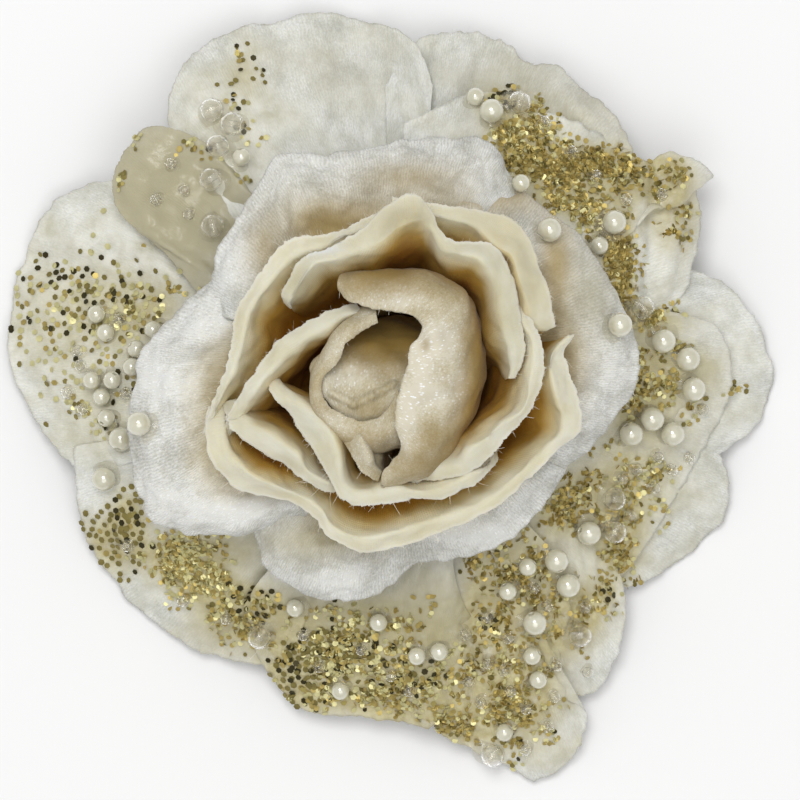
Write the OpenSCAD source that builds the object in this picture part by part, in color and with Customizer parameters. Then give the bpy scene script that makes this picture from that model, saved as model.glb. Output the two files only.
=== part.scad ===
// Flower hair clip: a velvet rose, trimmed with pearls and glass beads, on a sprung steel clip.
// +Z is the way the flower faces. The clip's jaw points along +X and its hinge lies along Y.
// z = 0 is the plane that the clip's thumb pad rests on. The outline is centred on x = y = 0.

/* [Flower] */
// Thickness of the stiffened cloth of the petals
cloth_t = 0.6; // [0.4:0.1:0.8]
// How far the middle ring of petals is let down
middle_drop = 2; // [0:0.5:4]
// How far the inner petals are pulled up
inner_lift = 7; // [4:0.5:9]
// How far the bud stands up
bud_lift = 8; // [5:0.5:10]
// Diameter of the felt disc that backs the flower
felt_d = 40; // [34:1:46]
// Thickness of the felt
felt_t = 1.5; // [1:0.1:1.8]
// Diameter of the plastic calyx plate under the petals
calyx_d = 24; // [20:1:28]
// Radius of the plastic post that the petals are built on
post_r = 2; // [1.5:0.1:2.5]

/* [Clip] */
// Length of the clip
clip_l = 58; // [52:1:60]
// Width of the clip's arms
clip_w = 12; // [11:0.5:14]
// Thickness of the sheet steel
steel_t = 0.7; // [0.5:0.1:0.8]
// Height of the top face of the upper arm, where the felt is glued
clip_h = 13; // [12.5:0.1:14]
// Radius of the hinge pin
pin_r = 1; // [0.8:0.1:1.2]
// Radial clearance of the lower arm on the pin
pin_clear = 0.06; // [0.03:0.01:0.1]
// Wire diameter of the torsion spring
wire_d = 0.8; // [0.6:0.1:0.9]
// Turns of the torsion spring
spring_turns = 4; // [3:1:5]

/* [Trim] */
// Diameter of the large pearls
pearl_large_d = 4; // [3.5:0.1:4.5]
// Diameter of the small pearls
pearl_small_d = 3; // [2.6:0.1:3.2]
// Diameter of the large clear beads
bead_d = 4; // [3.5:0.1:4.5]
// Diameter of the small clear beads
seed_d = 2; // [1.6:0.1:2.4]

/* [Hidden] */
$fn = 48;

// Steps of a petal's grid across its width and from base to rim
across = 14;
up = 10;
// Where the wall of a lipped petal ends and its folded lip begins, the wall's upright part, how
// far the wall leans outwards for each unit of height, and the share of the petal's width at
// each end over which it stands straighter
lip_at = 0.7;
wall = 12;
flare = 0.5;
end_share = 0.12;

// The axis of the flower, and the hinge line
axis = [1, 3];
bud_axis = [2, 4.5];
hinge_x = -9;
hinge_z = 8.2;
ear_r = 2.2;
play = 0.2;

felt_z = clip_h;
calyx_z = felt_z + felt_t;
calyx_t = 2.5;
core_z = calyx_z + calyx_t;
post_top = 31;

outer_z = core_z + 0.6;
middle_z = core_z + 2.5;
inner_z = core_z + 4;
bud_z = core_z + 8;

arm_under = clip_h - steel_t;
half_l = clip_l / 2;
ear_y = clip_w / 2 - steel_t - play;
coil_r = pin_r + 0.5 + wire_d / 2;

// A petal is [rim points, centre of its base arc, radius, height, first and last angle of the
// base arc, how far the cloth first runs out and up from the base, handles, lip widths].
// The handles, spread evenly along the rim, bring the cloth into it. A petal with lip widths
// has no handles: its wall stands up to the crest of a lip that folds over to the rim.
function lifted(rim, h) = [for (q = rim) q + [0, 0, h]];
function outer(rim, arc, rise = [12, 9], curl = [-16, 11]) =
    [rim, axis, 9, outer_z, arc, rise, [curl], []];
function middle(rim, arc, rise = [15, 6], curl = [-9, 13]) =
    [lifted(rim, -middle_drop), axis, 9.2, middle_z, arc, rise, [curl], []];
function inner(rim, arc, lip) =
    [lifted(rim, inner_lift), axis, 9.5, inner_z, arc, [7, 5], [], lip];
function bud(rim, r, z, arc, rise, curl, lip = []) =
    [lifted(rim, bud_lift), bud_axis, r, z, arc, rise, curl, lip];

outer_petals = [
    // top left, large and smooth
    outer([[-33, 36, 15], [-37.5, 44, 13], [-37, 50, 11], [-33, 57.5, 8], [-26, 61.5, 6],
           [-17, 63.7, 4], [-8, 64.3, 2.5], [-2, 62.5, 4], [4, 59.5, 8], [7, 52, 14]],
          [136, 83]),
    // top right, folded over
    outer([[-1, 52, 12], [4, 59.6, 7], [9, 61.3, 6], [14, 61.6, 5], [19, 59.5, 5],
           [23.5, 55.7, 7], [28, 55.8, 7], [32, 51.6, 9], [36.5, 47.5, 10], [40, 41, 13],
           [40, 34, 15]],
          [92, 38]),
    // upper right, with the pointed tip
    outer([[2, 46, 20], [8, 48.3, 19], [13, 50.3, 18], [18, 50.8, 17], [24, 48.4, 16],
           [30, 46.3, 15], [37, 42.5, 14], [42, 39.2, 14], [46.5, 40.4, 13], [50.8, 39.2, 12],
           [53.4, 37.1, 11], [50.9, 35.4, 11], [51.6, 31, 10], [51.2, 24, 10], [49, 17, 12], [45, 12, 15]],
          [91, 12]),
    // right, smooth, behind the trimmed one
    outer([[46, 24, 9], [51, 21.5, 7], [56.5, 18.8, 5], [60.5, 13.5, 3], [63.6, 7, 1.5],
           [64, 1, 1], [61.5, -4.7, 2], [56, -9, 4], [50, -12, 6]],
          [25, -17]),
    // lower right, smooth
    outer([[50, -5, 6], [55, -9.5, 4], [56.4, -15, 2], [55.3, -20.3, 1], [51.5, -25.3, 1],
           [46, -29.3, 1.5], [40, -31.6, 3], [35, -31, 6]],
          [-10, -44]),
    // right, trimmed
    outer([[44, 15, 15], [48, 13.6, 13], [53.5, 12.4, 11], [56, 9, 9], [57, 3, 8],
           [55, -3.5, 7], [52, -9, 7], [48.5, -15, 7], [45, -21.5, 7.5], [41, -27.5, 7.5],
           [36, -32, 8]],
          [16, -45]),
    // bottom right
    outer([[38, -28, 8], [38.8, -34, 6], [38.4, -40, 5], [37, -45.5, 4], [34.5, -49.5, 3.5],
           [31, -50.2, 4], [27, -46, 6], [24, -40, 9]],
          [-41, -62]),
    // bottom, the longest
    outer([[29, -28, 15], [29.5, -36, 12], [28, -43, 9], [29.5, -49.5, 7], [32.7, -52.5, 5],
           [32.3, -56.5, 4], [29.6, -61.5, 2], [24.3, -64.3, 1], [19.5, -62, 2],
           [14, -59.5, 4], [8.5, -56, 6], [5, -50, 10]],
          [-49, -86]),
    // bottom left, the most thickly trimmed
    outer([[15.5, -39, 12.5], [14, -44, 12], [11, -49, 10.5], [7, -54.8, 8], [2, -54.3, 6],
           [-5, -53.2, 5], [-12, -52.6, 4], [-17, -51, 4], [-20, -46.7, 5], [-23, -42, 8],
           [-25, -35, 12]],
          [-45, -124]),
    // left, below the middle
    outer([[-17, -45, 6], [-22.5, -44.2, 4], [-28, -44, 3], [-34, -41.8, 2.5], [-40, -38, 2],
           [-45, -33.3, 2], [-49.3, -27, 2.5], [-51.7, -21, 3.5], [-52.3, -15, 5], [-53, -8, 8]],
          [-110, -168]),
    // left
    outer([[-51, -13, 7], [-55.5, -9.3, 6], [-59, -5, 4], [-62.5, 2, 2.5], [-63.9, 9, 1.5],
           [-63.6, 16, 1], [-61.8, 24, 1.5], [-58, 31, 2.5], [-52, 35.6, 4], [-45.5, 37, 6],
           [-37, 36, 9]],
          [197, 139]),
    // upper left, small, lying on its neighbours
    outer([[-32, 17, 21], [-38, 24, 18], [-43, 28.5, 16], [-46, 33, 14], [-45.5, 38.5, 14],
           [-42.5, 43.5, 14.5], [-38, 45.2, 15], [-32, 43, 18], [-26, 38, 20]],
          [157, 129], [10, 8], [-10, 6])
];

middle_petals = [
    // upper left
    middle([[-29, 14, 33], [-29.5, 20, 32], [-26, 27, 31], [-22, 34.5, 30], [-18.5, 40, 29],
            [-10, 40.3, 29], [-3, 41.7, 28], [4, 43, 28], [11, 42.8, 28], [16, 41.3, 28.5],
            [19, 37.5, 29], [21, 33, 30]],
           [158, 58]),
    // left
    middle([[-25, 22, 31], [-31, 18, 30], [-38, 11, 29], [-41.5, 6, 28.5], [-43, 0, 28],
            [-43.2, -8, 28], [-42, -16, 28], [-38.5, -20.8, 28], [-33, -22.6, 29],
            [-26, -22.3, 30], [-20, -20.5, 31], [-14, -19, 33]],
           [144, 236]),
    // bottom
    middle([[-23, -18, 30], [-21.5, -26, 28], [-18, -30, 27], [-13, -33, 26], [-7, -33.7, 26],
            [-1, -31.2, 26.5], [5, -26.8, 28], [11, -26, 28.5], [17, -24.2, 29],
            [22.5, -20.3, 29.5], [27, -15.5, 30], [31, -9, 31]],
           [221, 338]),
    // right
    middle([[5, 35.5, 29], [12, 36.2, 29.5], [20, 36, 30], [25, 31.5, 30.5], [30, 28, 30.5],
            [34, 22.5, 30], [38, 16, 30], [40.3, 8, 30], [39.5, 2.5, 30], [37, -3, 30.5],
            [33.5, -7.5, 31], [29, -12, 33]],
           [82, -28])
];

inner_petals = [
    // upper, standing tall round the bud, its right end a hanging tongue
    inner([[-16.8, 15.2, 36], [-17.6, 17, 38], [-15.6, 21, 39], [-13.6, 23.2, 39.6],
           [-10.5, 24.2, 40], [-7.5, 25.8, 40.3], [-4.5, 27.6, 40.7], [-1.5, 30.3, 41],
           [1.5, 32.3, 41], [4.5, 32.4, 41], [6.6, 29.8, 41], [8.6, 26, 41], [12, 25.1, 41],
           [15.5, 25, 41], [18, 23.2, 40.8], [19.8, 19.5, 40.4], [21, 14.5, 40],
           [21.8, 9, 39.5], [21.4, 5.6, 39], [20.1, 3.2, 38.3]],
          [146, 2], [0.5, 3, 2.4, 3.5, 6, 6, 2, 3, 4.4, 4.8, 4, 0.9]),
    // upper right, behind the first
    inner([[0, 32.5, 34.5], [5, 31.9, 36.3], [10, 31.2, 36.8], [15, 30.4, 37], [19.5, 29, 37],
           [22.4, 26.4, 37], [24, 22.3, 37], [25.4, 18, 37], [26.5, 14, 36.8], [26.8, 11.8, 36]],
          [88, 12], [1.5, 2, 3, 4.5, 5.6, 6, 6, 5.5, 4.5, 2.5]),
    // upper left, behind the first
    inner([[-31, -6, 28.5], [-28.9, 0, 33], [-26.8, 5, 34.8], [-25.8, 10, 35.6],
           [-24.6, 15, 36], [-21.6, 19.6, 36.3], [-18.5, 23.8, 36.5], [-15, 26.2, 36.7],
           [-11, 26.4, 36.8], [-7, 27.8, 36.8], [-3, 29.8, 36.5], [1, 32, 35]],
          [190, 90], [1.2, 1.8, 2.2, 2.4, 3, 3.4, 3, 2.2, 2, 1.5]),
    // left ribbon that tucks into the bud
    inner([[-27.6, -6.5, 30.5], [-26.4, -2.8, 34.8], [-24.6, 0.6, 37], [-21.8, 4.6, 38.5],
           [-19.4, 7.9, 39.3], [-16, 11, 39.8], [-12, 13.2, 40], [-8.5, 14.7, 39.6],
           [-5.5, 15.3, 38.3]],
          [200, 115], [1.5, 3.2, 3.6, 4, 4.2, 3.8, 2.8, 1.5]),
    // lower, the wide V
    inner([[-20.3, 3, 35], [-19.3, 0.5, 37.5], [-16.6, -2.6, 38.3], [-14.5, -5.6, 38.5],
           [-12, -9.5, 38.6], [-10.4, -13, 38.6], [-8.4, -15.8, 38.6], [-5.5, -17.3, 38.6],
           [-1.5, -17.2, 38.6], [3, -16.2, 38.5], [8, -16.1, 38.3], [12.5, -14.6, 37.5],
           [16, -12, 36], [17.5, -9.5, 33.5], [16.5, -7, 30]],
          [182, 330], [2.4, 5, 5, 4.6, 3.8, 2.6, 2, 2, 1.5, 1.2]),
    // lower left, between the V and the outermost
    inner([[-27.5, -0.5, 30.5], [-26, -4.8, 35.3], [-22, -8, 36], [-18, -10.3, 36.3],
           [-15, -12.5, 36.3], [-12, -14.4, 36], [-9.5, -15, 34], [-6.5, -14.6, 31]],
          [190, 275], [3, 5.5, 4, 2.2, 1.6, 1.5]),
    // lower, outermost, its end rising on the right
    inner([[-30, -1.5, 28.5], [-29.8, -9, 33], [-26, -14, 34], [-21, -15.8, 34.3],
           [-16, -17, 34.5], [-12.3, -19.5, 34.5], [-10, -23, 34.5], [-5, -25, 34.5],
           [1, -24.2, 34.5], [7, -22, 34.5], [13, -19.7, 34.5], [18, -17, 34.5],
           [23, -12.5, 34.5], [27, -8.3, 34.5], [30.2, -6, 34.5], [31, -3, 34.5],
           [30.5, -0.5, 34.5], [29.8, 2, 34.5], [28.8, 5, 34.5], [28.3, 7.8, 34.3],
           [30, 10.4, 33.5]],
          [185, 375], [4.5, 4, 2.2, 2.6, 3.4, 2.4, 2.6, 3.2, 4.2, 4, 1.2]),
    // right, between the bud and the outermost
    inner([[19, 18, 36], [21.5, 14.5, 38], [24, 10, 39], [24.6, 5.5, 39], [24, 1, 39],
           [22.4, -2.6, 39], [20, -5, 39], [18, -7.2, 39], [16, -9.6, 39], [13.5, -11.6, 38.8],
           [10.5, -12.8, 38.3], [7, -13.4, 37.5], [3, -13.6, 35.5]],
          [38, -78], [1.2, 1.5, 2, 2, 2, 2.5, 3.5, 4, 4, 3, 2])
];

bud_petals = [
    // the right half, closed over the top
    bud([[-8.2, 17.6, 39.5], [-6.6, 15.9, 40.8], [-3.5, 14.7, 41.8], [0, 14.1, 42.5],
         [3, 13.5, 43], [5.2, 12, 43.4], [4.6, 10, 43.8], [3, 8, 44], [2.6, 5, 44.3],
         [1.6, 1.5, 44.2], [0.9, -2, 43.8], [1, -5, 43.2], [1.9, -8, 42.3], [0.4, -10, 41.3],
         [-1.5, -12.4, 40.3], [-1.2, -14.3, 39]],
        9, bud_z, [112, -98], [9, 10],
        [[4, 2], [10.5, 3.5], [11.5, 3], [11, 3], [11, 3], [8, 2.5], [1, 1]]),
    // the left half
    bud([[-2, 12.2, 40.2], [-4.3, 11, 40.8], [-7, 9.2, 41], [-8.3, 6.5, 41], [-10, 4.3, 40.8],
         [-11.2, 2, 40.6], [-10.6, -0.4, 40.4], [-8, -2.4, 40.3], [-5, -3.7, 40.3],
         [-2.2, -3.2, 40.5], [0, -1, 40.6], [1, 1.5, 40.4]],
        7, bud_z, [105, 300], [7, 11], [[4.5, 2], [4.5, 2], [5, 2], [8, 3.5], [9, 4.5]]),
    // the rolled heart, closed over the middle
    bud([[-10.6, 6, 37.3], [-10.6, 1.6, 38], [-8.8, -2.4, 38.3], [-5, -4.3, 38.3],
         [-1.6, -3.6, 38.3], [0.9, -1, 38.3], [4, 3, 37]],
        7.5, bud_z, [190, -15], [5.2, 11], [[1, 1], [9, 5], [10, 5], [10, 5], [5, 3]]),
    // the low left leaf of the bud
    bud([[-9.5, -3, 36.5], [-8, -6, 38.3], [-6.6, -9, 38.8], [-4.5, -12, 38.7],
         [-2, -13.3, 37.6]],
        8.5, bud_z - 2, [215, 270], [3, 6], [], [1.6, 3.4, 3.8, 3.4, 1.8])
];

// Pearls and beads: [petal, x, y], with the petals counted through the outer ring and then the
// middle one
trimmed = concat(outer_petals, middle_petals);
pearls_large_at = [
    [10, -45.5, -6.5], [13, -41, -4.5], [9, -48, -13.5], [2, 17, 47], [15, 26, 27.5],
    [2, 36.5, 29], [15, 37.5, 12], [5, 45.5, 9.5], [5, 49.5, 6.5], [5, 50.5, 1.5], [5, 40, -6],
    [5, 43.5, -3.5], [5, 47, -6], [5, 33, -22.5], [7, 27.5, -27], [7, 29.5, -31.2], [7, 24, -38]
];
pearls_small_at = [
    [10, -49.5, 14], [10, -47.5, 11], [10, -39.6, 11.4], [10, -42.4, 8.2], [10, -50, 3],
    [10, -46.5, 3], [10, -43.2, 5.2], [10, -48.5, 0], [10, -47.5, -3.3], [11, -24.8, 40],
    [2, 14, 50], [15, 21, 35.5], [2, 34.5, 25.4], [7, 22.5, -28], [7, 20, -32], [7, 23.5, -43],
    [7, 24, -47], [7, 19, -56], [8, 4.5, -43], [8, 8, -42.2], [8, -2, -37], [8, -8.5, -49],
    [8, -16, -35]
];
beads_at = [
    [0, -30, 48], [0, -26.4, 45.6], [11, -29.5, 36.4], [11, -29, 41], [11, -29.5, 28.5],
    [2, 21.3, 49], [5, 41.4, 15], [5, 37.3, -22.3], [5, 36.4, -16.5], [7, 31, -40], [9, -22, -40],
    [7, 17, -60]
];
seeds_at = [
    [10, -52, 8], [10, -54, 1], [10, -52, 5.5], [10, -44.3, 0.8], [10, -51.3, -1.6],
    [10, -45.4, 13.2], [11, -39, 33], [11, -36.5, 39], [11, -33.5, 30.5], [11, -34.2, 34.5],
    [2, 30, 41], [2, 34, 37], [2, 45, 34], [2, 39, 33], [2, 25.5, 46], [5, 50, -10],
    [5, 47, -12], [5, 44, -15], [5, 41, -12], [5, 38.5, -13.5], [5, 44.3, -9.5], [5, 52.2, -2],
    [5, 40, -19.5], [7, 32.5, -35], [7, 26, -34.6], [7, 19.5, -40], [7, 16, -44], [7, 20, -49],
    [7, 15, -51], [7, 26, -55], [7, 22.5, -59], [7, 16, -36.5], [7, 28, -44.5],
    [7, 18.8, -45.5], [7, 22.5, -52], [7, 27.3, -50], [7, 13, -47.3], [6, 33, -46],
    [7, 12.5, -39.5], [7, 23.8, -31.6], [8, 0, -46], [8, -5, -42], [8, -12, -45], [8, 3, -49],
    [8, -14.5, -39.5], [9, -35, -34], [9, -44, -25], [9, -28, -37]
];

// A smooth curve through the points, with u from 0 to 1
function blend4(a, b, c, d, t) =
    0.5 * (2 * b + (c - a) * t + (2 * a - 5 * b + 4 * c - d) * t * t
           + (3 * b - a - 3 * c + d) * t * t * t);
function along(pts, u) = len(pts) == 1 ? pts[0] :
    let (n = len(pts) - 1, s = min(max(u, 0) * n, n - 0.0001), i = floor(s))
    blend4(pts[max(i - 1, 0)], pts[i], pts[i + 1], pts[min(i + 2, n)], s - i);

function bezier(a, b, c, d, t) =
    pow(1 - t, 3) * a + 3 * pow(1 - t, 2) * t * b + 3 * (1 - t) * t * t * c + pow(t, 3) * d;

// The wall of a lipped petal up to the crest, then the lip folded over it, as a curve of v.
// The wall stands straighter towards the petal's two ends.
function lipped(base, leave, rim, lip, u, v) =
    let (gap = [rim[0] - base[0], rim[1] - base[1], 0],
         away = gap / norm(gap),
         end = max(1 - min(u, 1 - u) / end_share, 0),
         crest = rim - 0.85 * lip * away + [0, 0, 0.3 * lip],
         stand = [0, 0, 1] + flare * (1 - end) * away)
    v < lip_at
        ? bezier(base, leave, crest - (wall + 4 * end) * stand, crest, v / lip_at)
        : bezier(crest, crest + 0.3 * lip * stand, rim - 0.45 * lip * away + [0, 0, 0.3 * lip],
                 rim, (v - lip_at) / (1 - lip_at));

// The middle surface of a petal, u across and v from base to rim
function cloth(p, u, v) =
    let (a = p[4][0] + (p[4][1] - p[4][0]) * u,
         out = [cos(a), sin(a), 0],
         base = [p[1][0], p[1][1], p[3]] + p[2] * out,
         leave = base + p[5][0] * out + [0, 0, p[5][1]],
         rim = along(p[0], u))
    len(p[7]) > 0
        ? lipped(base, leave, rim, along(p[7], u), u, v)
        : let (curl = along(p[6], u))
          bezier(base, leave, rim + curl[0] * out + [0, 0, curl[1]], rim, v);

// The surface's normal, on the side that the flower shows
function face(p, u, v) =
    let (d = 0.01,
         n = cross(cloth(p, u + d, v) - cloth(p, u - d, v),
                   cloth(p, u, min(v + d, 1)) - cloth(p, u, max(v - d, 0))))
    n / norm(n);

function corner(i, j) = j * (across + 1) + i;
function quad(a, b, c, d) = [[a, b, c], [a, c, d]];
function flat(lists) = [for (l = lists) for (x = l) x];

module petal(p) {
    layer = (across + 1) * (up + 1);
    sheet = [for (side = [1, -1]) for (j = [0:up]) for (i = [0:across])
        let (u = i / across, v = j / up)
        cloth(p, u, v) + side * cloth_t / 2 * face(p, u, v)];
    front = flat([for (j = [0:up - 1]) for (i = [0:across - 1])
        quad(corner(i, j), corner(i, j + 1), corner(i + 1, j + 1), corner(i + 1, j))]);
    back = [for (t = front) [t[0] + layer, t[2] + layer, t[1] + layer]];
    sides = flat([for (j = [0:up - 1], i = [0, across])
        let (a = corner(i, j), b = corner(i, j + 1))
        i == 0 ? quad(a, a + layer, b + layer, b) : quad(a, b, b + layer, a + layer)]);
    ends = flat([for (i = [0:across - 1], j = [0, up])
        let (a = corner(i, j), b = corner(i + 1, j))
        j == 0 ? quad(a, b, b + layer, a + layer) : quad(a, a + layer, b + layer, b)]);
    polyhedron(sheet, concat(front, back, sides, ends));
}

// The height of a petal's surface at a point seen from above
function away(p, uv, at) = let (q = cloth(p, uv[0], uv[1])) norm([q[0] - at[0], q[1] - at[1]]);
function nearest(p, at, grid) =
    let (gaps = [for (uv = grid) away(p, uv, at)]) grid[search(min(gaps), gaps)[0]];
function height_at(p, at) =
    let (coarse = [for (i = [0:16]) for (j = [1:10]) [i / 16, j / 10]],
         near = nearest(p, at, coarse),
         fine = [for (i = [-4:4]) for (j = [-4:4])
             [min(max(near[0] + i / 72, 0), 1), min(max(near[1] + j / 45, 0), 1)]],
         uv = nearest(p, at, fine))
    cloth(p, uv[0], uv[1])[2];

module balls(places, d) {
    for (b = places)
        translate([b[1], b[2], height_at(trimmed[b[0]], [b[1], b[2]]) + d / 2 + cloth_t / 2])
            sphere(d = d);
}

module felt_disc() {
    color("ivory") translate([axis[0], axis[1], felt_z]) cylinder(h = felt_t, d = felt_d);
}

// A felt strap glued over the upper arm, from the disc's underside
module felt_patch() {
    w = clip_w + 10;
    x0 = hinge_x + 8;
    color("ivory") translate([x0, axis[1], 0]) difference() {
        union() {
            translate([0, -w / 2, felt_z - 0.8]) cube([12, w, 0.8]);
            translate([0, -clip_w / 2 - 0.8, arm_under - 0.8]) cube([12, clip_w + 1.6, 1.2]);
        }
        translate([-1, -clip_w / 2 - 0.01, arm_under]) cube([14, clip_w + 0.02, clip_h]);
    }
}

module arm_outline(front_w) {
    hull() {
        translate([-half_l + 3, 0]) for (s = [-1, 1])
            translate([0, s * (clip_w / 2 - 3)]) circle(r = 3);
        translate([half_l - 2.5, 0]) for (s = [-1, 1])
            translate([0, s * (front_w / 2 - 2.5)]) circle(r = 2.5);
    }
}

// A side ear: a round lug about the pin with a neck to the plate at height z
module ear(y, z, neck) {
    translate([hinge_x, y, hinge_z]) rotate([90, 0, 0]) translate([0, 0, -steel_t / 2])
        cylinder(h = steel_t, r = ear_r);
    translate([hinge_x - neck / 2, y - steel_t / 2, min(z, hinge_z)])
        cube([neck, steel_t, abs(z - hinge_z)]);
}

module pin_hole(r) {
    translate([hinge_x, 0, hinge_z]) rotate([90, 0, 0])
        cylinder(h = 3 * clip_w, r = r, center = true);
}

module clip_upper_arm() {
    color("silver") translate([0, axis[1], 0]) difference() {
        union() {
            translate([0, 0, arm_under]) linear_extrude(steel_t) arm_outline(clip_w - 2.5);
            for (s = [-1, 1])
                ear(s * (clip_w - steel_t) / 2, clip_h - steel_t / 2, 2 * ear_r);
        }
        pin_hole(pin_r);
    }
}

// The lower arm seen from the side: thumb pad, lever, hinge length, jaw and lip
lower_path = [
    [-half_l, steel_t / 2], [-half_l + 8.5, steel_t / 2], [hinge_x - 4, 4.5],
    [hinge_x + 5, 4.5], [9, 5.2], [20, 8.4], [half_l - 3, 10.7], [half_l, 10.9]
];

module lower_plate() {
    rotate([90, 0, 0]) linear_extrude(clip_w - 2 * steel_t - 2 * play, center = true)
        for (i = [0:len(lower_path) - 2])
            hull() for (k = [0, 1])
                translate(lower_path[i + k]) circle(d = steel_t, $fn = 16);
}

// The toothed edges of the jaw, bent up from the plate
module jaw_edges() {
    tooth = 1.6;
    count = 9;
    x0 = half_l - 2 - count * tooth;
    low = [for (x = [x0, half_l - 3, half_l - 1.5]) [x, lookup(x, lower_path)]];
    teeth = [for (i = [0:count - 1]) each [
        [x0 + i * tooth, arm_under - 0.95], [x0 + (i + 0.5) * tooth, arm_under - 0.08]]];
    last = [x0 + count * tooth, arm_under - 0.95];
    for (s = [-1, 1])
        translate([0, s * (ear_y - steel_t / 2), 0]) rotate([90, 0, 0])
            linear_extrude(steel_t, center = true)
                polygon(concat(low, [last], [for (i = [len(teeth) - 1:-1:0]) teeth[i]]));
}

module clip_lower_arm() {
    color("silver") translate([0, axis[1], 0]) difference() {
        union() {
            lower_plate();
            jaw_edges();
            for (s = [-1, 1])
                ear(s * (ear_y - steel_t / 2), 4.5, 2 * ear_r);
        }
        pin_hole(pin_r + pin_clear);
    }
}

module clip_pin() {
    head_t = 0.6;
    color("gray") translate([hinge_x, axis[1], hinge_z]) rotate([90, 0, 0]) {
        cylinder(h = clip_w, r = pin_r, center = true);
        for (s = [-1, 1])
            translate([0, 0, s * (clip_w + head_t) / 2])
                cylinder(h = head_t, r = pin_r + 0.8, center = true);
    }
}

// A tube of round wire along a list of points that lie close to planes of constant y
module wire(pts, r, sides = 8) {
    last = len(pts) - 1;
    ring = [for (i = [0:last])
        let (t = pts[min(i + 1, last)] - pts[max(i - 1, 0)],
             f = t / norm(t), n = cross(f, [0, 1, 0]), m = n / norm(n), w = cross(f, m))
        for (k = [0:sides - 1]) pts[i] + r * (cos(360 * k / sides) * m + sin(360 * k / sides) * w)];
    skin = flat([for (i = [0:last - 1]) for (k = [0:sides - 1])
        let (a = i * sides + k, b = i * sides + (k + 1) % sides)
        quad(a, b, b + sides, a + sides)]);
    caps = concat(
        [for (k = [1:sides - 2]) [0, k + 1, k]],
        [for (k = [1:sides - 2]) [last * sides, last * sides + k, last * sides + k + 1]]);
    polyhedron(ring, concat(skin, caps));
}

// Torsion spring about the pin: its legs run back along the levers
module clip_spring() {
    pitch = wire_d + 0.15;
    turns = spring_turns + 0.5;
    long = turns * pitch;
    leg = 9;
    steps = 16;
    coil = [for (i = [0:turns * steps])
        let (a = 90 - 360 * i / steps)
        [coil_r * cos(a), -long / 2 + pitch * i / steps, coil_r * sin(a)]];
    top_leg = [-leg, -long / 2, arm_under - hinge_z - wire_d / 2 - 0.1];
    low_leg = [-leg, long / 2, -4.55];
    color("dimgray") translate([hinge_x, axis[1], hinge_z])
        wire(concat([top_leg, [-1.5, -long / 2, coil_r + 0.05]], coil,
                    [[-1.5, long / 2, -coil_r - 0.05], low_leg]), wire_d / 2);
}

module calyx_plate() {
    color("olivedrab") translate([axis[0], axis[1], calyx_z]) difference() {
        cylinder(h = calyx_t, d1 = calyx_d, d2 = calyx_d - 6);
        translate([0, 0, -1]) cylinder(h = calyx_t + 2, r = post_r);
    }
}

module stem_post() {
    color("olivedrab") translate([axis[0], axis[1], calyx_z]) {
        cylinder(h = post_top - calyx_z - 2, r = post_r);
        translate([0, 0, post_top - calyx_z - 2]) cylinder(h = 2, r1 = post_r, r2 = post_r - 1);
    }
}

// The bulb that the petals are glued round, one ring above another
module foam_core() {
    color("wheat") translate([axis[0], axis[1], core_z]) difference() {
        rotate_extrude()
            polygon([[0, 0], [9.3, 0], [9.4, 4], [9.4, 6.5], [8.8, 8.5], [7, 11.5], [4.5, 14.5],
                     [0, 17]]);
        translate([0, 0, -1]) cylinder(h = post_top - core_z + 1, r = post_r);
    }
}

module bud_petal(i) { color("antiquewhite") petal(bud_petals[i]); }
module inner_petal(i) { color("cornsilk") petal(inner_petals[i]); }
module middle_petal(i) { color("whitesmoke") petal(middle_petals[i]); }
module outer_petal(i) { color("ivory") petal(outer_petals[i]); }

module pearls_large() { color("seashell") balls(pearls_large_at, pearl_large_d); }
module pearls_small() { color("seashell") balls(pearls_small_at, pearl_small_d); }
module glass_beads() { color("lightyellow") balls(beads_at, bead_d); }
module seed_beads() { color("lightyellow") balls(seeds_at, seed_d); }

felt_disc();
felt_patch();
clip_upper_arm();
clip_lower_arm();
clip_pin();
clip_spring();
calyx_plate();
stem_post();
foam_core();
for (i = [0:len(bud_petals) - 1])
    bud_petal(i);
for (i = [0:len(inner_petals) - 1])
    inner_petal(i);
for (i = [0:len(middle_petals) - 1])
    middle_petal(i);
for (i = [0:len(outer_petals) - 1])
    outer_petal(i);
pearls_large();
pearls_small();
glass_beads();
seed_beads();
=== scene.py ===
"""Looks of the flower hair clip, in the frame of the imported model.

Lengths in the design lists are millimetres, and every mesh is made in metres.
"""

import math

import bmesh
import bpy
import numpy as np
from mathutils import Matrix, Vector
from mathutils.bvhtree import BVHTree


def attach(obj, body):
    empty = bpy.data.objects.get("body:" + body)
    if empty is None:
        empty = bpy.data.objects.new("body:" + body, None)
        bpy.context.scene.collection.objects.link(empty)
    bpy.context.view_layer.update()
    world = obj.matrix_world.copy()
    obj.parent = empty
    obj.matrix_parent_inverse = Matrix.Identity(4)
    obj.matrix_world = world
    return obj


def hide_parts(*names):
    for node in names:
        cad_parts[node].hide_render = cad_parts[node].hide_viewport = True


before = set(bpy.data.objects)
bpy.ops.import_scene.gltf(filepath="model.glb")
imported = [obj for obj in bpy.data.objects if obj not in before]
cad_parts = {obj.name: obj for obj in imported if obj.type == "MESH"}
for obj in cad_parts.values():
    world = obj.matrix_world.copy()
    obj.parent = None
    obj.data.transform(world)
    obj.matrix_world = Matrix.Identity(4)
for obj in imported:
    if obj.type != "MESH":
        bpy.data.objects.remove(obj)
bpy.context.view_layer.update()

MM = 0.001
ROOT = "flower"

# -------- the flower's design

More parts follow.
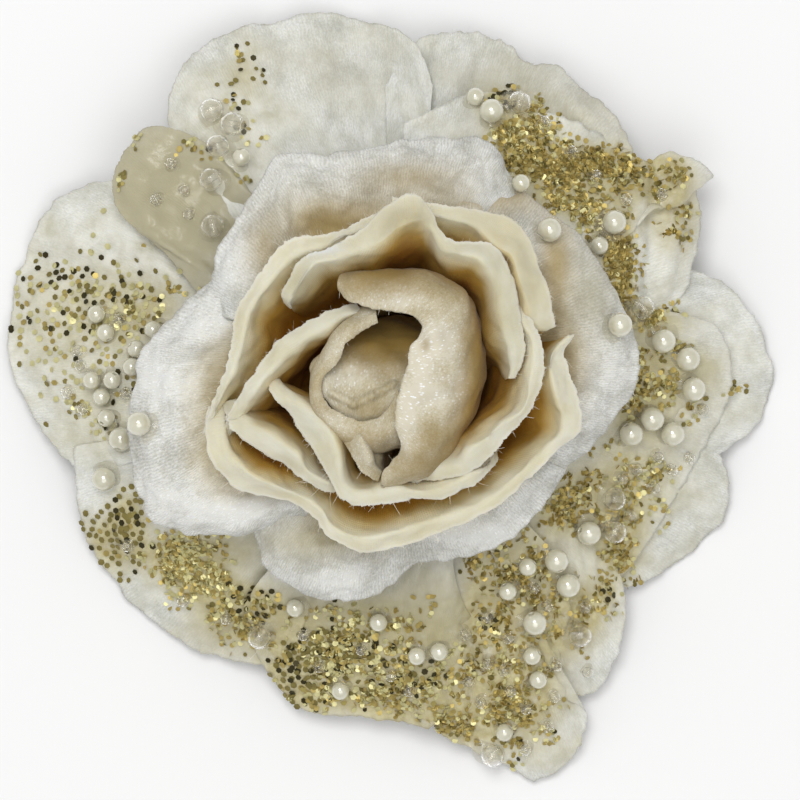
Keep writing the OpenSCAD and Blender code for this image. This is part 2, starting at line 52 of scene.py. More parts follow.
CLOTH_T = 0.4
AXIS = (1, 3)
BUD_AXIS = (2, 4.5)
CORE_Z = 17.0
OUTER_Z = CORE_Z + 0.6
MIDDLE_Z = CORE_Z + 2.5
INNER_Z = CORE_Z + 4
BUD_Z = CORE_Z + 8
MIDDLE_DROP = 2
INNER_LIFT = 7
BUD_LIFT = 8


def petal(name, rim, arc, centre, radius, z, rise, curl=None, lip=None, lift=0.0, **detail):
    """One petal, from the arc of its base, in degrees on a circle round the centre, to its rim.

    The cloth leaves the base by the rise, out and up. It comes to the rim along the handle curl,
    or over a rolled lip of the given widths. The details are creases (from, to, depth, width),
    patches (x, y, half-widths, share) of painted golden shade, of painted sheen on velvet and the
    silvery reverse on cream cloth, and of painted shade with the khaki tint of the glue film, and how
    far its ends sink.
    """
    rim = np.array(rim, float) + (0, 0, lift)
    made = dict(name=name, rim=rim, arc=arc, centre=centre, radius=radius, z=z, rise=rise, **detail)
    if lip is None:
        made["curl"] = np.array(curl if np.ndim(curl) == 2 else [curl, curl], float)
    else:
        made["lip"] = np.array(lip, float)[:, None]
    return made


def outer(i, rim, arc, rise=(12, 9), curl=(-16, 11), **detail):
    return petal(f"outer_petal_{i}", rim, arc, AXIS, 9, OUTER_Z, rise, curl, **detail)


def middle(i, rim, arc, **detail):
    return petal(f"middle_petal_{i}", rim, arc, AXIS, 9.2, MIDDLE_Z, (15, 6), (-9, 13),
                 lift=-MIDDLE_DROP, **detail)


def inner(i, rim, arc, lip, **detail):
    return petal(f"inner_petal_{i}", rim, arc, AXIS, 9.5, INNER_Z, (7, 5), lip=lip,
                 lift=INNER_LIFT, **detail)


def bud(i, rim, radius, z, arc, rise, curl=None, lip=None, **detail):
    return petal(f"bud_petal_{i}", rim, arc, BUD_AXIS, radius, z, rise, curl, lip, BUD_LIFT, **detail)


# In the petal lists the golden patches paint shade, the silvery patches paint sheen on the velvet and mark
# the silvery reverse of the cream cloth, and the shade patches paint shade together with the khaki tint of
# the glue film.
OUTER = [
    outer(1, [
        (-33, 36, 15), (-37.5, 44, 13), (-37, 50, 11), (-33, 57.5, 8), (-26, 61.5, 6), (-17, 63.7, 4),
        (-8, 64.3, 2.5), (-2, 62.5, 4), (4, 59.5, 8), (7, 52, 14),
    ], (136, 83),
        creases=[((-19, 61), (-22, 36), 1.2, 2.2), ((0, 61), (-3, 40), -1.0, 3),
                 ((-33, 54), (-27, 38), -0.8, 2.5), ((-8, 62), (-10, 44), 0.6, 1.8)],
        shade=[(-10, 54, 17, 9, 0.28), (-30, 50, 5, 7, 0.12)]),
    outer(2, [
        (-1, 52, 12), (4, 59.6, 7), (9, 61.3, 6), (14, 61.6, 5), (19, 59.5, 5), (23.5, 55.7, 7),
        (28, 55.8, 7), (32, 51.6, 9), (36.5, 47.5, 10), (40, 41, 13), (40, 34, 15),
    ], (92, 38), shade=[(30, 45, 20, 8, 0.5), (20, 55, 12, 6, 0.3)],
        creases=[((17, 60), (13, 50), 1.0, 1.6), ((25, 55), (36, 43), -0.9, 1.8),
                 ((22, 52), (33, 42), 0.9, 1.5), ((6, 58), (3, 50), 0.8, 1.4)]),
    outer(3, [
        (2, 46, 20), (8, 48.3, 19), (13, 50.3, 18), (18, 50.8, 17), (24, 48.4, 16), (30, 46.3, 15),
        (37, 42.5, 14), (42, 39.2, 14), (46.5, 40.4, 13), (50.8, 39.2, 12), (53.4, 37.1, 11),
        (50.9, 35.4, 11), (51.6, 31, 10), (51.2, 24, 10), (49, 17, 12), (45, 12, 15),
    ], (91, 12), creases=[((44, 38), (43, 16), 1.2, 1.5), ((48, 34), (46, 18), -0.8, 1.3)],
        shade=[(36, 36, 12, 7, 0.35), (14, 46, 8, 4, 0.25), (50, 28, 2.5, 9, 0.3)]),
    outer(4, [
        (46, 24, 9), (51, 21.5, 7), (56.5, 18.8, 5), (60.5, 13.5, 3), (63.6, 7, 1.5), (64, 1, 1),
        (61.5, -4.7, 2), (56, -9, 4), (50, -12, 6),
    ], (25, -17), creases=[((63, 8), (50, 6), 0.8, 1.8), ((60, -3), (48, -3), -0.7, 2)],
        silver=[(60, 8, 5, 7, 0.25)]),
    outer(5, [
        (50, -5, 6), (55, -9.5, 4), (56.4, -15, 2), (55.3, -20.3, 1), (51.5, -25.3, 1),
        (46, -29.3, 1.5), (40, -31.6, 3), (35, -31, 6),
    ], (-10, -44), creases=[((53, -23), (42, -14), 0.8, 1.8), ((45, -29), (38, -20), -0.6, 1.6)],
        shade=[(51, -18, 6, 9, 0.15)]),
    outer(6, [
        (44, 15, 15), (48, 13.6, 13), (53.5, 12.4, 11), (56, 9, 9), (57, 3, 8), (55, -3.5, 7),
        (52, -9, 7), (48.5, -15, 7), (45, -21.5, 7.5), (41, -27.5, 7.5), (36, -32, 8),
    ], (16, -45), sink=(0, 3.5), shade=[(30, -22, 8, 7, 0.65), (40, 10, 6, 8, 0.4), (47, -6, 9, 9, 0.2)]),
    outer(7, [
        (38, -28, 8), (38.8, -34, 6), (38.4, -40, 5), (37, -45.5, 4), (34.5, -49.5, 3.5),
        (31, -50.2, 4), (27, -46, 6), (24, -40, 9),
    ], (-41, -62)),
    outer(8, [
        (29, -28, 15), (29.5, -36, 12), (28, -43, 9), (29.5, -49.5, 7), (32.7, -52.5, 5),
        (32.3, -56.5, 4), (29.6, -61.5, 2), (24.3, -64.3, 1), (19.5, -62, 2), (14, -59.5, 4),
        (8.5, -56, 6), (5, -50, 10),
    ], (-49, -86), sink=(0, 4), shade=[(20, -28, 10, 7, 0.6), (27, -57, 6, 6, 0.1)],
        creases=[((13, -58), (15, -34), 0.8, 1.6), ((26, -62), (21, -34), -0.8, 2),
                 ((31, -56), (27, -34), 0.7, 1.5)]),
    outer(9, [
        (15.5, -39, 12.5), (14, -44, 12), (11, -49, 10.5), (7, -54.8, 8), (2, -54.3, 6), (-5, -53.2, 5),
        (-12, -52.6, 4), (-17, -51, 4), (-20, -46.7, 5), (-23, -42, 8), (-25, -35, 12),
    ], (-45, -124), sink=(-0.8, 2), shade=[(5, -34, 9, 10, 0.75), (-12, -36, 10, 5, 0.5)]),
    outer(10, [
        (-17, -45, 6), (-22.5, -44.2, 4), (-28, -44, 3), (-34, -41.8, 2.5), (-40, -38, 2),
        (-45, -33.3, 2), (-49.3, -27, 2.5), (-51.7, -21, 3.5), (-52.3, -15, 5), (-53, -8, 8),
    ], (-110, -168), shade=[(-22, -29, 9, 6, 0.35), (-30, -40, 9, 4, 0.3)],
        creases=[((-29, -43), (-18, -26), 0.9, 2), ((-44, -33), (-28, -20), -0.8, 2.5),
                 ((-50, -22), (-34, -12), 0.7, 2)]),
    outer(11, [
        (-51, -13, 7), (-55.5, -9.3, 6), (-59, -5, 4), (-62.5, 2, 2.5), (-63.9, 9, 1.5), (-63.6, 16, 1),
        (-61.8, 24, 1.5), (-58, 31, 2.5), (-52, 35.6, 4), (-45.5, 37, 6), (-37, 36, 9),
    ], (197, 139),
        creases=[((-60, 24), (-36, 16), 0.9, 2.5), ((-62, 4), (-40, 6), -0.9, 3),
                 ((-55, 33), (-38, 22), -0.7, 2)]),
    outer(12, [
        (-32, 17, 21), (-38, 24, 18), (-43, 28.5, 16), (-46, 33, 14), (-45.5, 38.5, 14),
        (-42.5, 43.5, 14.5), (-38, 45.2, 15), (-32, 43, 18), (-26, 38, 20),
    ], (157, 129), (10, 8), (-10, 6), shade=[(-36, 32, 30, 30, 0.92)]),
]

# painted shade and sheen: golden and shade patches paint the shade near the inner petals, silvery patches
# paint sheen
MIDDLE = [
    middle(1, [
        (-29, 14, 33), (-29.5, 20, 32), (-26, 27, 31), (-22, 34.5, 30), (-18.5, 40, 29),
        (-10, 40.3, 29), (-3, 41.7, 28), (4, 43, 28), (11, 42.8, 28), (16, 41.3, 28.5), (19, 37.5, 29),
        (21, 33, 30),
    ], (158, 58), warm=[(-9, 29, 9, 4, 0.75), (-21, 24, 3, 5, 0.5), (3, 36, 9, 3, 0.5)],
        shade=[(-16, 34, 6, 5, 0.16)], silver=[(-12, 39, 7, 2, 0.4), (-26, 21, 3, 6, 0.4)]),
    middle(2, [
        (-25, 22, 31), (-31, 18, 30), (-38, 11, 29), (-41.5, 6, 28.5), (-43, 0, 28), (-43.2, -8, 28),
        (-42, -16, 28), (-38.5, -20.8, 28), (-33, -22.6, 29), (-26, -22.3, 30), (-20, -20.5, 31),
        (-14, -19, 33),
    ], (144, 236),
        silver=[(-37, 3, 5, 6, 0.5), (-30, 12, 4, 5, 0.4), (-36, -16, 5, 4, 0.5), (-27, -18, 6, 3, 0.8)]),
    middle(3, [
        (-23, -18, 30), (-21.5, -26, 28), (-18, -30, 27), (-13, -33, 26), (-7, -33.7, 26),
        (-1, -31.2, 26.5), (5, -26.8, 28), (11, -26, 28.5), (17, -24.2, 29), (22.5, -20.3, 29.5),
        (27, -15.5, 30), (31, -9, 31),
    ], (221, 338), shade=[(-14, -23.5, 8, 3.5, 0.7)],
        silver=[(-10, -30, 6, 2, 0.6), (14, -22, 8, 3, 0.8)]),
    middle(4, [
        (5, 35.5, 29), (12, 36.2, 29.5), (20, 36, 30), (25, 31.5, 30.5), (30, 28, 30.5), (34, 22.5, 30),
        (38, 16, 30), (40.3, 8, 30), (39.5, 2.5, 30), (37, -3, 30.5), (33.5, -7.5, 31), (29, -12, 33),
    ], (82, -28), sink=(4, 0), warm=[(16, 33, 10, 3, 0.7), (27, 22, 3, 9, 0.8), (29, 6, 3, 6, 0.5)],
        shade=[(33, 18, 5, 9, 0.5)], silver=[(36, 6, 3, 5, 0.4)]),
]

# painted shade: golden patches paint shade on the cream cloth; its silvery patch is the silvery reverse of
# the cloth
INNER = [
    inner(1, [
        (-16.8, 15.2, 36), (-17.6, 17, 38), (-15.6, 21, 39), (-13.6, 23.2, 39.6), (-10.5, 24.2, 40),
        (-7.5, 25.8, 40.3), (-4.5, 27.6, 40.7), (-1.5, 30.3, 41), (1.5, 32.3, 41), (4.5, 32.4, 41),
        (6.6, 29.8, 41), (8.6, 26, 41), (12, 25.1, 41), (15.5, 25, 41), (18, 23.2, 40.8),
        (19.8, 19.5, 40.4), (21, 14.5, 40), (21.8, 9, 39.5), (21.4, 5.6, 39), (20.1, 3.2, 38.3),
    ], (146, 2), (0.5, 3, 2.4, 3.5, 6, 6, 2, 3, 4.4, 4.8, 4, 0.9),
        warm=[(2, 28.5, 5, 3, 0.55), (-15, 19, 3, 3, 0.35), (18.5, 12, 3, 7, 0.25)],
        silver=[(-12, 24, 4, 0.8, 0.7)]),
    inner(2, [
        (0, 32.5, 34.5), (5, 31.9, 36.3), (10, 31.2, 36.8), (15, 30.4, 37), (19.5, 29, 37),
        (22.4, 26.4, 37), (24, 22.3, 37), (25.4, 18, 37), (26.5, 14, 36.8), (26.8, 11.8, 36),
    ], (88, 12), (1.5, 2, 3, 4.5, 5.6, 6, 6, 5.5, 4.5, 2.5),
        warm=[(22, 20, 4, 9, 0.35), (14, 29, 6, 2, 0.3)]),
    inner(3, [
        (-31, -6, 28.5), (-28.9, 0, 33), (-26.8, 5, 34.8), (-25.8, 10, 35.6), (-24.6, 15, 36),
        (-21.6, 19.6, 36.3), (-18.5, 23.8, 36.5), (-15, 26.2, 36.7), (-11, 26.4, 36.8),
        (-7, 27.8, 36.8), (-3, 29.8, 36.5), (1, 32, 35),
    ], (190, 90), (1.2, 1.8, 2.2, 2.4, 3, 3.4, 3, 2.2, 2, 1.5)),
    inner(4, [
        (-27.6, -6.5, 30.5), (-26.4, -2.8, 34.8), (-24.6, 0.6, 37), (-21.8, 4.6, 38.5),
        (-19.4, 7.9, 39.3), (-16, 11, 39.8), (-12, 13.2, 40), (-8.5, 14.7, 39.6), (-5.5, 15.3, 38.3),
    ], (200, 115), (1.5, 3.2, 3.6, 4, 4.2, 3.8, 2.8, 1.5)),
    inner(5, [
        (-20.3, 3, 35), (-19.3, 0.5, 37.5), (-16.6, -2.6, 38.3), (-14.5, -5.6, 38.5), (-12, -9.5, 38.6),
        (-10.4, -13, 38.6), (-8.4, -15.8, 38.6), (-5.5, -17.3, 38.6), (-1.5, -17.2, 38.6),
        (3, -16.2, 38.5), (8, -16.1, 38.3), (12.5, -14.6, 37.5), (16, -12, 36), (17.5, -9.5, 33.5),
        (16.5, -7, 30),
    ], (182, 330), (2.4, 5, 5, 4.6, 3.8, 2.6, 2, 2, 1.5, 1.2)),
    inner(6, [
        (-27.5, -0.5, 30.5), (-26, -4.8, 35.3), (-22, -8, 36), (-18, -10.3, 36.3), (-15, -12.5, 36.3),
        (-12, -14.4, 36), (-9.5, -15, 34), (-6.5, -14.6, 31),
    ], (190, 275), (3, 5.5, 4, 2.2, 1.6, 1.5)),
    inner(7, [
        (-30, -1.5, 28.5), (-29.8, -9, 33), (-26, -14, 34), (-21, -15.8, 34.3), (-16, -17, 34.5),
        (-12.3, -19.5, 34.5), (-10, -23, 34.5), (-5, -25, 34.5), (1, -24.2, 34.5), (7, -22, 34.5),
        (13, -19.7, 34.5), (18, -17, 34.5), (23, -12.5, 34.5), (27, -8.3, 34.5), (30.2, -6, 34.5),
        (31, -3, 34.5), (30.5, -0.5, 34.5), (29.8, 2, 34.5), (28.8, 5, 34.5), (28.3, 7.8, 34.3),
        (30, 10.4, 33.5),
    ], (185, 375), (4.5, 4, 2.2, 2.6, 3.4, 2.4, 2.6, 3.2, 4.2, 4, 1.2)),
    inner(8, [
        (19, 18, 36), (21.5, 14.5, 38), (24, 10, 39), (24.6, 5.5, 39), (24, 1, 39), (22.4, -2.6, 39),
        (20, -5, 39), (18, -7.2, 39), (16, -9.6, 39), (13.5, -11.6, 38.8), (10.5, -12.8, 38.3),
        (7, -13.4, 37.5), (3, -13.6, 35.5),
    ], (38, -78), (1.2, 1.5, 2, 2, 2, 2.5, 3.5, 4, 4, 3, 2)),
]

# painted shade and sheen: golden patches paint the bud's shade, silvery patches paint its sheen
BUD = [
    bud(1, [
        (-8.2, 17.6, 39.5), (-6.6, 15.9, 40.8), (-3.5, 14.7, 41.8), (0, 14.1, 42.5), (3, 13.5, 43),
        (5.2, 12, 43.4), (4.6, 10, 43.8), (3, 8, 44), (2.6, 5, 44.3), (1.6, 1.5, 44.2), (0.9, -2, 43.8),
        (1, -5, 43.2), (1.9, -8, 42.3), (0.4, -10, 41.3), (-1.5, -12.4, 40.3), (-1.2, -14.3, 39),
    ], 9, BUD_Z, (112, -98), (9, 10),
        [(4, 2), (10.5, 3.5), (11.5, 3), (11, 3), (11, 3), (8, 2.5), (1, 1)],
        creases=[((5.5, 13), (8, 8), 0.7, 1.2), ((3, 3), (9, 0), 0.5, 1.6),
                 ((4, -9), (9, -5), 0.4, 1.5)],
        warm=[(-1, 20.5, 10, 3.6, 1), (17, 6, 3.5, 13, 0.8), (8, -11, 7, 3.5, 0.8),
              (5.6, 8.6, 0.8, 1.2, 0.6), (7, -6, 3, 2, 0.4)],
        silver=[(5, 6, 2.4, 4, 0.9), (8, 10, 1.8, 4, 0.7), (3, -3.5, 1.8, 5, 0.8), (7, 0, 4, 2.2, 0.6),
                (2, 15.5, 5, 1, 0.5), (11, 4, 2, 3, 0.4)]),
    bud(2, [
        (-2, 12.2, 40.2), (-4.3, 11, 40.8), (-7, 9.2, 41), (-8.3, 6.5, 41), (-10, 4.3, 40.8),
        (-11.2, 2, 40.6), (-10.6, -0.4, 40.4), (-8, -2.4, 40.3), (-5, -3.7, 40.3), (-2.2, -3.2, 40.5),
        (0, -1, 40.6), (1, 1.5, 40.4),
    ], 7, BUD_Z, (105, 300), (7, 11), [(4.5, 2), (4.5, 2), (5, 2), (8, 3.5), (9, 4.5)],
        warm=[(-3, -7.5, 5, 2, 0.6), (-13.5, 8, 1.5, 5, 0.4), (-12, -2, 2, 3, 0.3)]),
    bud(3, [
        (-10.6, 6, 37.3), (-10.6, 1.6, 38), (-8.8, -2.4, 38.3), (-5, -4.3, 38.3), (-1.6, -3.6, 38.3),
        (0.9, -1, 38.3), (4, 3, 37),
    ], 7.5, BUD_Z, (190, -15), (5.2, 11), [(1, 1), (9, 5), (10, 5), (10, 5), (5, 3)],
        creases=[((-9.5, 0.8), (-6, -0.9), 0.7, 0.5), ((-6, -0.9), (-3, 0.3), 0.7, 0.5),
                 ((-3, 0.3), (0.5, 2.2), 0.7, 0.5)], warm=[(-1, 10, 6, 4, 0.75), (-4, -1.8, 5, 1, 0.3)],
        silver=[(-5.5, 3.5, 3.4, 2.4, 0.5)]),
    bud(4, [
        (-9.5, -3, 36.5), (-8, -6, 38.3), (-6.6, -9, 38.8), (-4.5, -12, 38.7), (-2, -13.3, 37.6),
    ], 8.5, BUD_Z - 2, (215, 270), (3, 6), lip=(1.6, 3.4, 3.8, 3.4, 1.8)),
]

# -------- curves and noise


def unit(vectors):
    return vectors / np.maximum(np.linalg.norm(vectors, axis=-1, keepdims=True), 1e-9)


def along(points, u):
    """A smooth curve through the points, with u from 0 to 1."""
    n = len(points) - 1
    s = np.clip(u, 0, 1) * n
    i = np.minimum(s.astype(int), n - 1)
    t = (s - i)[:, None]
    a, b = points[np.maximum(i - 1, 0)], points[i]
    c, d = points[i + 1], points[np.minimum(i + 2, n)]
    return 0.5 * (2 * b + (c - a) * t + (2 * a - 5 * b + 4 * c - d) * t**2
                  + (3 * b - a - 3 * c + d) * t**3)


def waves(places, length, seed, terms=14):
    """Smooth noise of about that wavelength at each place, between -1 and 1 or so."""
    rng = np.random.default_rng(seed)
    turn = unit(rng.normal(size=(terms, places.shape[-1])))
    turn *= 2 * math.pi / (length * rng.uniform(0.7, 1.5, terms))[:, None]
    return np.cos(places @ turn.T + rng.uniform(0, 2 * math.pi, terms)).sum(-1) / math.sqrt(terms)


def bezier(a, b, c, d, t):
    return (1 - t) ** 3 * a + 3 * (1 - t) ** 2 * t * b + 3 * (1 - t) * t**2 * c + t**3 * d


# A lipped petal is wall up to this share of its way from base to rim. The wall's handle is so long,
# and it leans out by the flare, but stands upright in the end share at each of its ends.
LIP_AT = 0.7
WALL = 12
FLARE = 0.5
END_SHARE = 0.12
# How far the lip's crest lies behind the rim and above it, as shares of the lip's width
CREST_BACK = 0.85
CREST_UP = 0.3
# The share of a petal's width over which an end that sinks comes up again
SINK_SHARE = 0.16


def surface(p, u, v):
    """The petal's plain surface at grids of u, across, and v, from base to rim."""
    a = np.radians(p["arc"][0] + (p["arc"][1] - p["arc"][0]) * u)
    out = np.stack([np.cos(a), np.sin(a), 0 * a], -1)
    base = np.array([*p["centre"], p["z"]]) + p["radius"] * out
    rim = along(p["rim"], u.ravel()).reshape(*u.shape, 3)
    up = np.array([0, 0, 1.0])
    leave = base + p["rise"][0] * out + p["rise"][1] * up
    v = v[..., None]
    if "curl" in p:
        curl = along(p["curl"], u.ravel()).reshape(*u.shape, 2)
        return bezier(base, leave, rim + curl[..., :1] * out + curl[..., 1:] * up, rim, v)
    # the wall stands up to the crest of the lip, and the lip folds over it to the rim
    lip = along(p["lip"], u.ravel()).reshape(*u.shape, 1)
    away = unit((rim - base) * (1, 1, 0))
    end = np.clip(1 - np.minimum(u, 1 - u) / END_SHARE, 0, 1)[..., None]
    crest = rim - CREST_BACK * lip * away + p["slope"] * lip * up
    stand = up + FLARE * (1 - end) * away
    wall = bezier(base, leave, crest - (WALL + 4 * end) * stand, crest, np.minimum(v / LIP_AT, 1))
    roll = bezier(crest, crest + 0.3 * lip * stand, rim - 0.45 * lip * away + 0.3 * lip * up, rim,
                  np.clip((v - LIP_AT) / (1 - LIP_AT), 0, 1))
    return np.where(v < LIP_AT, wall, roll)


def normals(grid):
    """The normals of a grid of points, on the side that the flower shows."""
    return unit(np.cross(np.gradient(grid, axis=1), np.gradient(grid, axis=0)))


def quads_of(rows, columns, closed=False):
    """The quads of a grid of points, closed round its columns if asked for."""
    index = np.arange(rows * columns).reshape(rows, columns)
    after = np.roll(index, -1, axis=1)
    if not closed:
        index, after = index[:, :-1], after[:, :-1]
    return np.stack([index[:-1], after[:-1], after[1:], index[1:]], -1).reshape(-1, 4)


def soft_patches(xy, patches):
    """The sum at each place of soft patches, each with a centre, half-widths and a share."""
    total = np.zeros(xy.shape[:-1])
    for x, y, rx, ry, share in patches:
        total += share * np.exp(-((xy[..., 0] - x) / rx) ** 2 - ((xy[..., 1] - y) / ry) ** 2)
    return total


def off_line(xy, a, b):
    """How far each place is from the line from a to b, seen from above."""
    a, b = np.array(a, float), np.array(b, float)
    t = np.clip(((xy - a) @ (b - a)) / ((b - a) @ (b - a)), 0, 1)
    return np.linalg.norm(xy - a - t[..., None] * (b - a), axis=-1)


# -------- petals


def shaped(p, style, seed):
    """The grid of a petal with its ruffles, creases, wrinkles and rough edge."""
    u, v = np.meshgrid(np.linspace(0, 1, style["across"]), np.linspace(0, 1, style["up"]) ** 0.8)
    if "lip" in p:
        wander = waves(p["rim"], 9, seed + 4)[:, None]
        spread = waves(np.arange(len(p["lip"]))[:, None] * 3.0, 7, seed + 5)[:, None]
        fold = along(waves(p["rim"], 14, seed + 6)[:, None], u.ravel()).reshape(*u.shape, 1)
        p = dict(p, rim=p["rim"] + wander * (0.12, 0.12, 0.5), slope=CREST_UP + 0.28 * fold,
                 lip=np.maximum(p["lip"] * (1 + 0.22 * spread), 0.9))
    flat = surface(p, u, v)
    first, last = p.get("sink", (0, 0))
    at_first = np.clip(1 - u / SINK_SHARE, 0, 1) ** 2
    at_last = np.clip(1 - (1 - u) / SINK_SHARE, 0, 1) ** 2
    flat[..., 2] -= v * (first * at_first + last * at_last)
    rng = np.random.default_rng(seed)
    ruffle = 0 * u
    for k in (2, 3, 5, 8):
        ruffle += np.sin(k * 2 * math.pi * u / 1.7 + rng.uniform(0, 6.3)) * rng.uniform(0.5, 1) / k
    lift = style["ruffle"] * ruffle * np.clip((v - 0.35) / 0.65, 0, 1) ** 2
    lift += style["wrinkle"] * waves(flat, style["wave"], seed + 1) * np.clip(3 * v, 0, 1)
    lift += style["fine"] * waves(flat, 2.4, seed + 2, 24)
    for a, b, deep, wide in p.get("creases", []):
        lift -= deep * np.exp(-((off_line(flat[..., :2], a, b) / wide) ** 2))
    grid = flat + lift[..., None] * normals(flat)
    # the cut edge is rough: its last rows wander along the cloth
    outward = unit(np.gradient(grid, axis=0))
    rough = waves(grid[-1], 2.2, seed + 3)[:, None] * style["uneven"]
    rough += rng.normal(0, style["fray"], (style["across"], 1))
    grid[-1] += outward[-1] * rough
    grid[-2] += outward[-2] * rough * 0.5
    return u, v, grid


def mesh_of_grid(name, grid, u, v):
    """A mesh of the grid in metres, with a UV map in metres along the cloth."""
    quads = quads_of(*grid.shape[:2])
    mesh = bpy.data.meshes.new(name)
    mesh.from_pydata((grid.reshape(-1, 3) * MM).tolist(), [], quads.tolist())
    wide = np.linalg.norm(np.diff(grid, axis=1), axis=-1).sum(1).max() * MM
    long = np.linalg.norm(np.diff(grid, axis=0), axis=-1).sum(0).mean() * MM
    uv = mesh.uv_layers.new(name="cloth")
    place = np.stack([u * wide, v * long], -1).reshape(-1, 2)
    uv.data.foreach_set("uv", place[quads.ravel()].ravel().astype(np.float32))
    mesh.polygons.foreach_set("use_smooth", [True] * len(quads))
    mesh.update()
    return mesh, wide, long


def placed(mesh, stands_for=(), thick=None):
    """An object of the mesh that rides on the flower, and the CAD nodes that it stands for."""
    obj = bpy.data.objects.new(mesh.name, mesh)
    bpy.context.scene.collection.objects.link(obj)
    if thick:
        modifier = obj.modifiers.new("cloth thickness", "SOLIDIFY")
        modifier.thickness = thick * MM
        modifier.offset = 0
    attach(obj, ROOT)
    if stands_for:
        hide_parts(*stands_for)
    return obj


def merged(name, points, faces, materials, of_face=None, stands_for=(), smooth=False):
    """One object of many small shapes, given in millimetres."""
    mesh = bpy.data.meshes.new(name)
    mesh.from_pydata((np.array(points) * MM).tolist(), [], faces)
    for material in materials:
        mesh.materials.append(material)
    if of_face is not None:
        mesh.polygons.foreach_set("material_index", of_face)
    if smooth:
        mesh.polygons.foreach_set("use_smooth", [True] * len(faces))
    mesh.update()
    return placed(mesh, stands_for)


def attribute(mesh, name, values):
    mesh.attributes.new(name, "FLOAT", "POINT").data.foreach_set("value", np.asarray(values, np.float32))


def cloth_piece(p, style, seed, material):
    """A petal as a piece of cloth that stands for its CAD node; returns its grid of points."""
    u, v, grid = shaped(p, style, seed)
    mesh, wide, long = mesh_of_grid(p["name"] + "_cloth", grid, u, v)
    steps = np.linalg.norm(np.diff(grid[::-1], axis=0, prepend=grid[-1:]), axis=-1)
    attribute(mesh, "from_rim", np.cumsum(steps, 0)[::-1].ravel() * MM)
    if style.get("glued"):
        attribute(mesh, "glue", glue_at(grid[..., :2]).ravel())
        attribute(mesh, "stain", stain_at(grid[..., :2]).ravel())
    # these attributes carry painted golden shade, painted sheen on the velvet with the silvery reverse of
    # the cream cloth, and painted shade with the khaki tint of the glue film
    for tint in ("warm", "silver", "shade"):
        attribute(mesh, tint, np.clip(soft_patches(grid, p.get(tint, [])), 0, 0.95).ravel())
    mesh.materials.append(material)
    obj = placed(mesh, [p["name"]], style["thick"])
    return grid


# -------- where the trim lies

